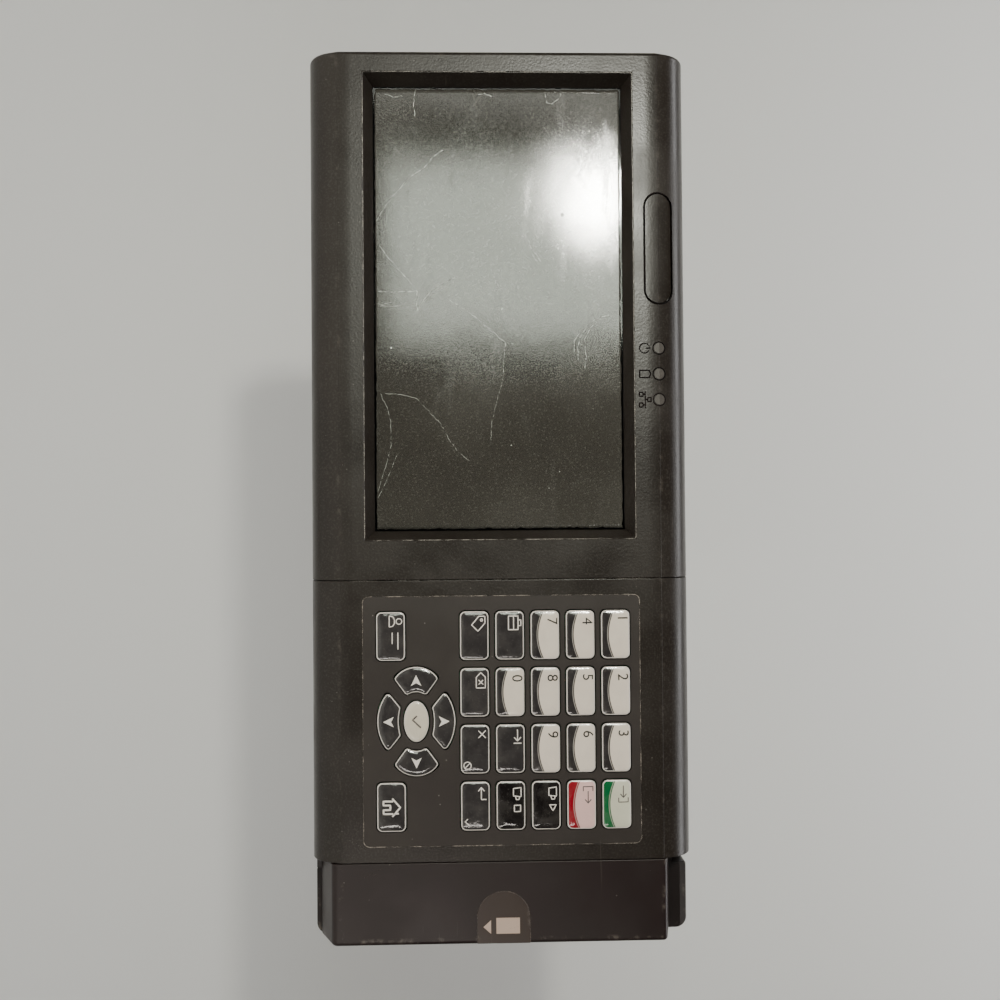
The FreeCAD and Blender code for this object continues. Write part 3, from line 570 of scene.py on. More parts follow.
def mouldedPlastic(name, look):
    material, shader = newMaterial(name, look["colour"], look["roughness"], Specular_IOR_Level=look["gloss"])
    tree = material.node_tree
    grain = placeGroup(tree, grainNodes, Scale=look["grainScale"])
    wear = placeGroup(tree, wearNodes, FoldZ=look["foldZ"], EndX=look["endX"])
    colour = mixColour(tree, grain.outputs["Patches"], look["colour"], look["patch"])
    flecks = mathNode(tree, "MULTIPLY", grain.outputs["Flecks"], look["flecks"])
    colour = mixColour(tree, flecks, colour, look["fleckColour"])
    rubbed = mathNode(tree, "MULTIPLY", wear.outputs["Wear"], look["wear"])
    colour = mixColour(tree, rubbed, colour, (0.26, 0.22, 0.19))
    scratches = mathNode(tree, "MULTIPLY", wear.outputs["Scratches"], 0.16)
    colour = mixColour(tree, scratches, colour, (0.20, 0.17, 0.15))
    dust = mathNode(tree, "MULTIPLY", wear.outputs["Dust"], look["dust"])
    colour = mixColour(tree, dust, colour, (0.36, 0.33, 0.30))
    feed(tree, colour, shader.inputs["Base Color"])
    rough = mathNode(tree, "MULTIPLY_ADD", grain.outputs["Patches"], 0.10, look["roughness"] - 0.05)
    tree.links.new(mathNode(tree, "MULTIPLY_ADD", rubbed, -0.16, rough), shader.inputs["Roughness"])
    fold = placeGroup(tree, foldNodes, FoldZ=look["softFold"])
    height = mathNode(tree, "MULTIPLY_ADD", grain.outputs["Height"], look["bump"] * look["bumpDepth"],
                      fold.outputs["Height"])
    bumpInto(tree, shader, height, 1.0, 1.0)
    return material


# metals
metalLooks = {
    # colour, colour where it is dull, roughness, depth of the drawn lines
    "zincSteel": ((0.50, 0.49, 0.46), (0.36, 0.35, 0.33), 0.34, 0.10),
    "nickelCan": ((0.62, 0.60, 0.57), (0.48, 0.46, 0.43), 0.22, 0.05),
    "springSteel": ((0.30, 0.30, 0.31), (0.22, 0.22, 0.23), 0.28, 0.08),
    "bracketSteel": ((0.56, 0.56, 0.55), (0.44, 0.44, 0.43), 0.38, 0.16),
    "domeSteel": ((0.64, 0.62, 0.58), (0.54, 0.52, 0.49), 0.18, 0.04),
    "headMetal": ((0.58, 0.56, 0.53), (0.42, 0.40, 0.38), 0.16, 0.05),
}


def brushedMetal(name):
    bright, dull, roughness, lines = metalLooks[name]
    material, shader = newMaterial(name, bright, roughness, Metallic=1.0)
    tree = material.node_tree
    brush = placeGroup(tree, brushNodes)
    feed(tree, mixColour(tree, brush.outputs["Dull"], bright, dull), shader.inputs["Base Color"])
    rough = mathNode(tree, "MULTIPLY_ADD", brush.outputs["Dull"], 0.14, roughness)
    rough = mathNode(tree, "MULTIPLY_ADD", brush.outputs["Lines"], lines, rough)
    feed(tree, rough, shader.inputs["Roughness"])
    bumpInto(tree, shader, brush.outputs["Lines"], 0.15, 0.00004)
    return material


# boards, battery, ribbon and foam inside the case
insideLooks = {
    "mask": (0.010, 0.070, 0.030), "track": (0.018, 0.120, 0.050), "pad": (0.60, 0.48, 0.20),
    "wrap": (0.045, 0.120, 0.230), "ribbon": (0.40, 0.40, 0.39), "ribbonLine": (0.62, 0.62, 0.60),
    "foam": (0.014, 0.014, 0.015),
}


def boardMaterial():
    look = insideLooks
    material, shader = newMaterial("solderMask", look["mask"], 0.34)
    tree = material.node_tree
    coords = objectCoords(tree)
    grid = tree.nodes.new("ShaderNodeTexVoronoi")        # angular runs, as copper tracks turn
    grid.distance, grid.feature = "CHEBYCHEV", "F1"
    grid.inputs["Scale"].default_value = 210.0
    feed(tree, coords, grid.inputs["Vector"])
    lines = tree.nodes.new("ShaderNodeTexWave")
    lines.inputs["Scale"].default_value = 160.0
    lines.inputs["Distortion"].default_value = 1.5
    feed(tree, coords, lines.inputs["Vector"])
    tracks = mathNode(tree, "MULTIPLY", rampNode(tree, lines.outputs["Fac"], 0.45, 0.60),
                      rampNode(tree, noiseNode(tree, coords, 60.0, 2.0), 0.42, 0.50))
    pads = mathNode(tree, "LESS_THAN", grid.outputs["Distance"], 0.10)
    colour = mixColour(tree, tracks, look["mask"], look["track"])
    tree.links.new(mixColour(tree, pads, colour, look["pad"]), shader.inputs["Base Color"])
    tree.links.new(pads, shader.inputs["Metallic"])
    bumpInto(tree, shader, tracks, 0.4, 0.00003)
    return material


def wrapMaterial():
    material, shader = newMaterial("shrinkWrap", insideLooks["wrap"], 0.22, Coat_Weight=0.4)
    tree = material.node_tree
    folds = noiseNode(tree, stretched(tree, objectCoords(tree), (40.0, 300.0, 160.0)), 1.0, 3.0, 0.55)
    colour = mixColour(tree, rampNode(tree, folds, 0.42, 0.66), insideLooks["wrap"], (0.09, 0.20, 0.34))
    feed(tree, colour, shader.inputs["Base Color"])
    bumpInto(tree, shader, folds, 0.4, 0.0004)
    return material


def ribbonMaterial():
    material, shader = newMaterial("flatRibbon", insideLooks["ribbon"], 0.38)
    tree = material.node_tree
    lines = tree.nodes.new("ShaderNodeTexWave")
    lines.bands_direction = "Z"
    lines.inputs["Scale"].default_value = 320.0
    feed(tree, objectCoords(tree), lines.inputs["Vector"])
    colour = mixColour(tree, lines.outputs["Fac"], insideLooks["ribbon"], insideLooks["ribbonLine"])
    feed(tree, colour, shader.inputs["Base Color"])
    bumpInto(tree, shader, lines.outputs["Fac"], 0.5, 0.0001)
    return material


def foamMaterial():
    material, shader = newMaterial("gasketFoam", insideLooks["foam"], 0.9)
    tree = material.node_tree
    cells = tree.nodes.new("ShaderNodeTexVoronoi")
    cells.inputs["Scale"].default_value = 2400.0
    feed(tree, objectCoords(tree), cells.inputs["Vector"])
    colour = mixColour(tree, cells.outputs["Distance"], (0.006, 0.006, 0.006), (0.030, 0.030, 0.031))
    feed(tree, colour, shader.inputs["Base Color"])
    bumpInto(tree, shader, cells.outputs["Distance"], 0.8, 0.0003)
    return material


# the display stack
screenLooks = {
    "panel": (0.030, 0.033, 0.030), "panelPatch": (0.044, 0.047, 0.042), "panelRoughness": 0.30,
    "glass": (0.93, 0.96, 0.94), "glassRoughness": 0.03,
    "film": (0.056, 0.051, 0.044), "filmPatch": (0.078, 0.072, 0.063), "filmRoughness": 0.068,
    "filmAlpha": 0.78, "filmSpeck": 0.14, "crease": (0.78, 0.80, 0.75),
    "lens": (0.055, 0.048, 0.043),
}


def panelMaterial():
    look = screenLooks
    material, shader = newMaterial("displayPanel", look["panel"], look["panelRoughness"])
    tree = material.node_tree
    coords = objectCoords(tree)
    cloud = rampNode(tree, noiseNode(tree, coords, 14.0, 3.0, 0.5), 0.35, 0.70)
    fine = noiseNode(tree, coords, 5200.0, 1.0, 0.5)      # the grain of the rear polariser
    colour = mixColour(tree, cloud, look["panel"], look["panelPatch"])
    tree.links.new(mixColour(tree, mathNode(tree, "MULTIPLY", fine, 0.4), colour, (0.060, 0.064, 0.058)),
                   shader.inputs["Base Color"])
    bumpInto(tree, shader, fine, 0.3, 0.00003)
    return material


def glassMaterial():
    look = screenLooks
    material, shader = newMaterial("touchGlass", look["glass"], look["glassRoughness"],
                                   Transmission_Weight=1.0, IOR=1.45)
    tree = material.node_tree
    coords = stretched(tree, objectCoords(tree), (30.0, 30.0, 90.0), (0, 0.4, 0))
    smears = noiseNode(tree, coords, 1.0, 3.0, 0.6)
    rough = mathNode(tree, "MULTIPLY_ADD", smears, 0.05, look["glassRoughness"])
    feed(tree, rough, shader.inputs["Roughness"])
    return material


def lensMaterial():
    look = screenLooks
    material, shader = newMaterial("lampLens", look["lens"], 0.45, Specular_IOR_Level=0.3)
    tree = material.node_tree
    cloud = noiseNode(tree, objectCoords(tree), 420.0, 3.0, 0.6)
    colour = mixColour(tree, cloud, look["lens"], tuple(1.7 * c for c in look["lens"]))
    feed(tree, colour, shader.inputs["Base Color"])
    bumpInto(tree, shader, cloud, 0.1, 0.0001)
    return material


finishes = {
    "housing": mouldedPlastic("housingPlastic", plasticLooks["housing"]),
    "cap": mouldedPlastic("capPlastic", plasticLooks["cap"]),
    "guide": mouldedPlastic("guidePlastic", plasticLooks["guide"]),
    "overlay": mouldedPlastic("overlayFilm", plasticLooks["overlay"]),
    "label": mouldedPlastic("labelFilm", plasticLooks["label"]),
    "plate_paint": mouldedPlastic("platePaint", plasticLooks["platePaint"]),
    "jack_plastic": mouldedPlastic("socketPlastic", plasticLooks["socketPlastic"]),
    "chip": mouldedPlastic("chipMoulding", plasticLooks["moulding"]),
    "steel": brushedMetal("zincSteel"),
    "jack_metal": brushedMetal("nickelCan"),
    "sheet_metal": brushedMetal("bracketSteel"),
    "steel_dome": brushedMetal("domeSteel"),
    "head_metal": brushedMetal("headMetal"),
    "circuit_board": boardMaterial(), "battery": wrapMaterial(), "ribbon": ribbonMaterial(),
    "foam": foamMaterial(), "display": panelMaterial(), "glass": glassMaterial(), "lens": lensMaterial(),
}
ownFinish = {"head_spring": brushedMetal("springSteel")}

for nodeName, piece in frame["nodes"].items():
    finish = ownFinish.get(nodeName, finishes.get(finishOf.get(nodeName)))
    if finish is not None:
        for materialSlot in piece.material_slots:
            materialSlot.material = finish
print("finishes of the carried-over nodes done")


# protective film on the glass: ragged at its edges, baggy, scuffed and creased
filmSizes = {"cuts": 46, "ragged": 0.0006, "raggedScale": 340, "bagging": 0.00005, "baggingScale": 45,
             "thickness": 0.00009, "creaseLift": 0.00001}
creaseLines = {
    # width in mm, and the line in mm from the wall plate's centre
    "upperArc": (0.22, [(-65.2, 40.0), (-64.0, 35.5), (-61.0, 32.0), (-57.0, 29.6), (-53.0, 28.6),
                        (-48.5, 28.8)]),
    "upperArcTwin": (0.14, [(-63.8, 37.0), (-60.6, 33.4), (-56.0, 31.0), (-50.0, 31.6), (-45.5, 31.2)]),
    "upperHook": (0.14, [(-58.8, 29.4), (-55.8, 27.4), (-52.0, 27.2)]),
    "midDash": (0.18, [(-90.8, 11.2), (-87.6, 13.4), (-84.6, 15.4)]),
    "midDashTwin": (0.12, [(-89.2, 11.6), (-86.0, 13.2), (-84.8, 14.2)]),
    "tearTop": (0.34, [(-78.8, -15.8), (-76.6, -19.8), (-74.6, -23.8), (-71.2, -26.6), (-67.6, -28.9)]),
    "tearTopTwin": (0.20, [(-77.4, -15.6), (-74.8, -20.6), (-72.4, -24.6), (-69.2, -27.6)]),
    "tearCross": (0.26, [(-74.2, -29.6), (-71.4, -29.2), (-68.8, -29.6), (-66.8, -29.0)]),
    "tearLeft": (0.22, [(-73.8, -30.4), (-73.9, -34.4), (-73.7, -38.6), (-73.8, -43.4)]),
    "tearRight": (0.26, [(-68.9, -34.6), (-68.3, -38.4), (-68.7, -43.6)]),
    "tearRightTwin": (0.16, [(-70.0, -38.6), (-69.0, -41.8), (-69.4, -43.6)]),
    "lowLeft": (0.14, [(-125.2, -19.6), (-122.6, -23.4), (-118.6, -26.6), (-115.8, -31.0)]),
    "lowLeftThick": (0.34, [(-114.2, -33.0), (-110.6, -35.6), (-107.6, -38.6)]),
    "lowLeftEnd": (0.12, [(-107.4, -38.8), (-103.6, -41.4), (-99.4, -43.8)]),
    "faintDiagonal": (0.10, [(-55.2, 2.6), (-60.4, -3.8), (-64.8, -8.6), (-71.8, -19.6)]),
    "faintLower": (0.10, [(-76.0, -31.0), (-82.0, -36.0), (-87.4, -40.8), (-92.0, -44.2)]),
    "rightLong": (0.13, [(-12.6, -10.8), (-15.8, -15.0), (-19.4, -17.6), (-25.8, -21.2), (-31.0, -26.0),
                         (-35.2, -29.8), (-36.6, -35.6), (-37.0, -41.0)]),
    "rightLow": (0.12, [(-36.8, -42.8), (-32.0, -40.4), (-26.4, -39.2), (-18.6, -39.0), (-12.0, -40.6),
                        (-6.6, -42.4), (-1.6, -43.8)]),
    "rightLowTwin": (0.12, [(-14.4, -37.2), (-9.0, -39.2), (-3.0, -42.0), (0.6, -43.8)]),
    "smudgeTop": (0.10, [(-55.0, 2.4), (-49.0, 1.8), (-42.0, 1.4), (-35.0, -0.6), (-27.0, -2.6),
                         (-19.0, -3.2)]),
    "leftNickHigh": (0.26, [(-146.6, 23.6), (-144.0, 22.6), (-142.0, 19.6)]),
    "leftNickHighTwin": (0.20, [(-145.6, 17.6), (-142.6, 18.2), (-141.8, 20.4)]),
    "leftNickMid": (0.22, [(-144.6, -2.0), (-145.8, -4.6), (-145.2, -6.8)]),
    "leftNickLow": (0.14, [(-146.8, -29.6), (-142.0, -30.2), (-137.6, -29.8)]),
    "leftNickEnd": (0.16, [(-145.0, -34.0), (-144.2, -37.6), (-145.4, -40.6)]),
    "cornerNick": (0.22, [(-135.6, 39.8), (-134.6, 38.4)]),
}
bubbleSpots = [
    # place and size across, mm
    (-101.6, 23.4, 1.5), (-54.9, 5.0, 0.7), (-67.4, 1.2, 0.5), (-95.6, 30.2, 0.8), (-18.0, 4.2, 0.4),
    (-124.8, 33.4, 0.6), (-31.0, 34.0, 0.4), (-2.4, 17.8, 0.4), (-53.4, -38.8, 0.5), (-8.4, 21.6, 0.4),
]


def filmMaterial():
    look = screenLooks
    material, shader = newMaterial("protectiveFilm", look["film"], look["filmRoughness"],
                                   Specular_IOR_Level=0.75)
    tree = material.node_tree
    coords = objectCoords(tree)
    wide = rampNode(tree, noiseNode(tree, coords, 18.0, 3.0, 0.55), 0.34, 0.70)
    fine = noiseNode(tree, coords, 1500.0, 3.0, 0.7)
    wiped = stretched(tree, coords, (34.0, 34.0, 140.0), (0, 0.7, 0))
    smear = rampNode(tree, noiseNode(tree, wiped, 1.0, 4.0, 0.6), 0.55, 0.78)
    colour = mixColour(tree, wide, look["film"], look["filmPatch"])
    flecks = mathNode(tree, "MULTIPLY", rampNode(tree, fine, 0.5, 0.8), 0.16)
    colour = mixColour(tree, flecks, colour, (0.40, 0.42, 0.38))
    feed(tree, colour, shader.inputs["Base Color"])
    rough = mathNode(tree, "MULTIPLY_ADD", wide, 0.06, look["filmRoughness"])
    feed(tree, mathNode(tree, "MULTIPLY_ADD", smear, 0.10, rough), shader.inputs["Roughness"])
    specks = rampNode(tree, fine, 0.40, 0.75)
    alpha = mathNode(tree, "MULTIPLY_ADD", specks, look["filmSpeck"], look["filmAlpha"])
    feed(tree, mathNode(tree, "MULTIPLY_ADD", smear, 0.08, alpha), shader.inputs["Alpha"])
    bumpInto(tree, shader, mathNode(tree, "ADD", fine, mathNode(tree, "MULTIPLY", wide, 3.0)), 0.40, 0.00003)
    return material


def creaseMaterial():
    material, shader = newMaterial("filmCrease", screenLooks["crease"], 0.30)
    tree = material.node_tree
    coords = objectCoords(tree)
    broken = rampNode(tree, noiseNode(tree, coords, 700.0, 4.0, 0.7), 0.32, 0.62)
    tree.links.new(mathNode(tree, "MULTIPLY", broken, 0.85), shader.inputs["Alpha"])
    colour = mixColour(tree, broken, (0.38, 0.40, 0.37), screenLooks["crease"])
    feed(tree, colour, shader.inputs["Base Color"])
    return material


def makeFilm():
    low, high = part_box("screen_film")
    width, height = high.x - low.x, high.z - low.z
    centre = nodeCentre("screen_film")
    y = low.y + 0.6 * (high.y - low.y)
    deselectAll()
    bpy.ops.mesh.primitive_plane_add(size=1, location=(centre[0], y, centre[1]), rotation=(math.pi / 2, 0, 0))
    film = bpy.context.object
    film.scale = (width, height, 1)
    bpy.ops.object.transform_apply(location=True, rotation=True, scale=True)
    editAll(film)
    bpy.ops.mesh.subdivide(number_cuts=filmSizes["cuts"])
    bpy.ops.mesh.subdivide(number_cuts=1)
    bpy.ops.object.mode_set(mode="OBJECT")
    fine, broad = filmSizes["raggedScale"], filmSizes["baggingScale"]
    for vertex in film.data.vertices:
        co = vertex.co
        rag = filmSizes["ragged"] * (0.35 + abs(meshNoise.noise(Vector((co.x * fine, 0, co.z * fine)))) * 1.6)
        fromSides = min(co.x - low.x, high.x - co.x)
        fromEnds = min(co.z - low.z, high.z - co.z)
        if fromSides < 1e-6:
            co.x += rag if co.x < centre[0] else -rag
        if fromEnds < 1e-6:
            co.z += rag if co.z < centre[1] else -rag
        # the film bags a little away from the glass
        co.y -= filmSizes["bagging"] * max(0.0, meshNoise.noise(Vector((co.x * broad, 3.1, co.z * broad))))
    bpy.ops.object.shade_smooth()
    applyModifier(film, "SOLIDIFY", thickness=filmSizes["thickness"], offset=1.0)
    film = settle(film, "protective_film", "terminal", filmMaterial())
    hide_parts("screen_film")
    crease = creaseMaterial()
    filmFront = min(v.co.y for v in film.data.vertices)
    for name, (width, line) in creaseLines.items():
        ragged = []
        for x, z in denseLine(line, 0.8):
            shift = meshNoise.noise(Vector((x * 0.9, 0, z * 0.9)))
            ragged.append((x + 0.40 * shift, z - 0.35 * shift))
        stroke = penStrokes(name, [ragged], width, (0, 0), flat=0.12)
        drape(stroke, [film], filmSizes["creaseLift"])
        settle(stroke, "crease_" + name, "terminal", crease)
    for i, (x, z, size) in enumerate(bubbleSpots):
        # a flat trapped bubble: a disc, inset twice and raised
        deselectAll()
        bpy.ops.mesh.primitive_circle_add(vertices=20, radius=size / 2 * mm, fill_type="NGON",
                                          location=(x * mm, filmFront, z * mm), rotation=(math.pi / 2, 0, 0))
        bubble = bpy.context.object
        bpy.ops.object.transform_apply(location=True, rotation=True, scale=True)
        editAll(bubble)
        bpy.ops.mesh.inset(thickness=0.12 * size * mm, depth=0.02 * size * mm)
        bpy.ops.mesh.inset(thickness=0.14 * size * mm, depth=0.01 * size * mm)
        bpy.ops.object.mode_set(mode="OBJECT")
        bpy.ops.object.shade_smooth()
        settle(bubble, "bubble_%d" % i, "terminal", crease)
    print("film, creases and bubbles finished")


makeFilm()


# keys: a wall out of the panel, a printed outline, then a pillow
keySizes = {
    "foot": 0.6, "shoulder": -0.42,                      # y of the wall's foot and top, mm behind the front
    "block": (17.4, 10.4, 2.0), "oval": (14.7, 9.1),
    "outlineInset": (0.14, 0.20), "outlineWidth": (0.34, 0.19),
    "blockSteps": [(0.75, 0.20), (1.15, 0.15), (1.40, 0.07)],
    "fanSteps": [(0.60, 0.18), (0.75, 0.12), (0.60, 0.06)],
    "fanCorner": 1.3,
}
fanArcs = {
    # three points on the outer arc and three on the inner one, mm from the middle of the oval key
    "side": ([(15.1, -8.0), (19.4, 0.0), (15.1, 8.0)], [(8.95, 3.5), (10.2, 0.0), (8.95, -3.5)]),
    "end": ([(-10.7, 10.0), (0.0, 13.9), (10.7, 10.0)], [(5.0, 5.4), (0.0, 6.05), (-5.0, 5.4)]),
}
keyColours = {
    # the low band, and the field above it
    "light": ((0.030, 0.026, 0.027), (0.86, 0.75, 0.65)),
    "green": ((0.006, 0.130, 0.040), (0.70, 0.68, 0.55)),
    "red": ((0.30, 0.003, 0.014), (0.86, 0.56, 0.54)),
    "black": ((0.009, 0.007, 0.007), None),
    "dark": ((0.036, 0.032, 0.033), None),
    "oval": ((0.76, 0.68, 0.56), None),
}
keyKinds = {"key_clock_in": "green", "key_clock_out": "red", "key_break_start": "black",
            "key_break_end": "black", "key_select": "oval"}


def arcThrough(a, b, c, steps):
    # points on the circle through a, b and c, from a to c
    (ax, ay), (bx, by), (cx, cy) = a, b, c
    d = 2 * (ax * (by - cy) + bx * (cy - ay) + cx * (ay - by))
    aa, bb, cc = ax * ax + ay * ay, bx * bx + by * by, cx * cx + cy * cy
    ux = (aa * (by - cy) + bb * (cy - ay) + cc * (ay - by)) / d
    uy = (aa * (cx - bx) + bb * (ax - cx) + cc * (bx - ax)) / d
    start = math.atan2(ay - uy, ax - ux)
    turn = (math.atan2(cy - uy, cx - ux) - start + math.pi) % (2 * math.pi) - math.pi
    r = math.hypot(ax - ux, ay - uy)
    return [(ux + r * math.cos(start + turn * i / steps), uy + r * math.sin(start + turn * i / steps))
            for i in range(steps + 1)]


def softenCorners(points, radius):
    # rounds the corners of a dense outline, leaving out its points that stand too near a corner
    straight = math.radians(150)

    def turnAt(i):
        here = Vector(points[i])
        return (Vector(points[i - 1]) - here).angle(Vector(points[(i + 1) % len(points)]) - here)

    corners = [Vector(points[i]) for i in range(len(points)) if turnAt(i) < straight]
    points = [p for p in points if min((Vector(p) - c).length for c in corners) < 1e-6
              or min((Vector(p) - c).length for c in corners) > 1.25 * radius]
    result = []
    for i, p in enumerate(points):
        here = Vector(p)
        a = (Vector(points[i - 1]) - here).normalized()
        b = (Vector(points[(i + 1) % len(points)]) - here).normalized()
        angle = a.angle(b)
        if angle > straight:
            result.append(p)
            continue
        back = radius / math.tan(angle / 2)
        centre = here + (a + b).normalized() * (radius / math.sin(angle / 2))
        start, end = here + a * back - centre, here + b * back - centre
        s = math.atan2(start.y, start.x)
        turn = (math.atan2(end.y, end.x) - s + math.pi) % (2 * math.pi) - math.pi
        for j in range(6):
            a = s + turn * j / 5
            result.append((centre.x + radius * math.cos(a), centre.y + radius * math.sin(a)))
    return result


def fanOutline(way):
    outer, inner = fanArcs["side" if way in ("left", "right") else "end"]
    points = softenCorners(arcThrough(*outer, 16) + arcThrough(*inner, 8), keySizes["fanCorner"])
    turnX, turnZ = (-1 if way == "left" else 1), (-1 if way == "down" else 1)
    centre = nodeCentre("key_select")
    return [(centre[0] + u * turnX * mm, centre[1] + v * turnZ * mm) for u, v in points]


def pillow(piece, centre, steps):
    # the flat outline becomes a key: wall, outline ring, then steps inwards and up
    width = max(v.co.x for v in piece.data.vertices) - min(v.co.x for v in piece.data.vertices)
    height = max(v.co.z for v in piece.data.vertices) - min(v.co.z for v in piece.data.vertices)
    editAll(piece)
    rise = (keySizes["shoulder"] - keySizes["foot"]) * mm
    bpy.ops.mesh.extrude_region_move(TRANSFORM_OT_translate={"value": (0, rise, 0)})
    for slotIndex, (inset, step) in ((0, keySizes["outlineInset"]), (1, keySizes["outlineWidth"])):
        piece.active_material_index = slotIndex
        bpy.ops.object.material_slot_assign()
        bpy.ops.mesh.inset(thickness=inset * mm, depth=step * mm)
    nowW = width - 2 * mm * (keySizes["outlineInset"][0] + keySizes["outlineWidth"][0])
    nowH = height - 2 * mm * (keySizes["outlineInset"][0] + keySizes["outlineWidth"][0])
    for inset, step in steps:
        bpy.ops.mesh.extrude_region_move(TRANSFORM_OT_translate={"value": (0, -step * mm, 0)})
        nextW, nextH = nowW - 2 * inset * mm, nowH - 2 * inset * mm
        bpy.ops.transform.resize(value=(nextW / nowW, 1, nextH / nowH),
                                 center_override=(centre[0], 0, centre[1]))
        nowW, nowH = nextW, nextH
    for i in range(len(steps)):
        bpy.ops.mesh.select_more()
    piece.active_material_index = 2
    bpy.ops.object.material_slot_assign()
    bpy.ops.object.mode_set(mode="OBJECT")
    bpy.ops.object.shade_smooth()
    applyModifier(piece, "SUBSURF", levels=2, render_levels=2)
    layer = piece.data.uv_layers.new(name="print")
    for loop in piece.data.loops:
        co = piece.data.vertices[loop.vertex_index].co
        layer.data[loop.index].uv = ((co.x - centre[0]) / width + 0.5, (co.z - centre[1]) / height + 0.5)


def keyFace(name, low, high, roughness=0.10):
    material, shader = newMaterial(name, low, roughness, Coat_Weight=0.5, Coat_Roughness=0.05)
    tree = material.node_tree
    coords = objectCoords(tree)
    colour = low
    if high is not None:
        uv = tree.nodes.new("ShaderNodeUVMap")
        uv.uv_map = "print"
        field = tree.nodes.new("ShaderNodeGroup")
        field.node_tree = fieldNodes
        tree.links.new(uv.outputs["UV"], field.inputs["Map"])
        colour = mixColour(tree, field.outputs["Field"], low, high)
        border = mathNode(tree, "MULTIPLY", field.outputs["Border"], 0.75)
        colour = mixColour(tree, border, colour, (0.60, 0.55, 0.51))
    haze = rampNode(tree, noiseNode(tree, coords, 160.0, 4.0, 0.6), 0.35, 0.75)
    smear = rampNode(tree, noiseNode(tree, coords, 900.0, 2.0, 0.6), 0.58, 0.75)
    colour = mixColour(tree, mathNode(tree, "MULTIPLY", haze, 0.10), colour, (0.30, 0.27, 0.25))
    colour = mixColour(tree, mathNode(tree, "MULTIPLY", smear, 0.05), colour, (0.55, 0.52, 0.48))
    feed(tree, colour, shader.inputs["Base Color"])
    tree.links.new(mathNode(tree, "MULTIPLY_ADD", haze, 0.10, roughness), shader.inputs["Roughness"])
    bumpInto(tree, shader, noiseNode(tree, coords, 170.0, 3.0, 0.55), 0.55, 0.0006)
    return material


def printInk(name, colour, roughness, worn=0.55):
    material, shader = newMaterial(name, colour, roughness)
    tree = material.node_tree
    gaps = rampNode(tree, noiseNode(tree, objectCoords(tree), 1500.0, 5.0, 0.7), 0.56, 0.70)
    dark = tuple(c * 0.45 + 0.02 for c in colour)
    colour = mixColour(tree, mathNode(tree, "MULTIPLY", gaps, worn), colour, dark)
    feed(tree, colour, shader.inputs["Base Color"])
    tree.links.new(mathNode(tree, "MULTIPLY_ADD", gaps, 0.2, roughness), shader.inputs["Roughness"])
    return material


inks = {
    "pale": printInk("paleLegend", (0.90, 0.82, 0.77), 0.35),
    "dark": printInk("darkLegend", (0.012, 0.010, 0.010), 0.35),
    "grey": printInk("greyLegend", (0.11, 0.09, 0.085), 0.35),
    "outline": printInk("keyOutline", (0.74, 0.68, 0.64), 0.28),
}
keySide = keyFace("keySide", (0.060, 0.050, 0.046), None, 0.25)
keyFaces = {kind: keyFace("keyFace" + kind.capitalize(), low, high)
            for kind, (low, high) in keyColours.items()}

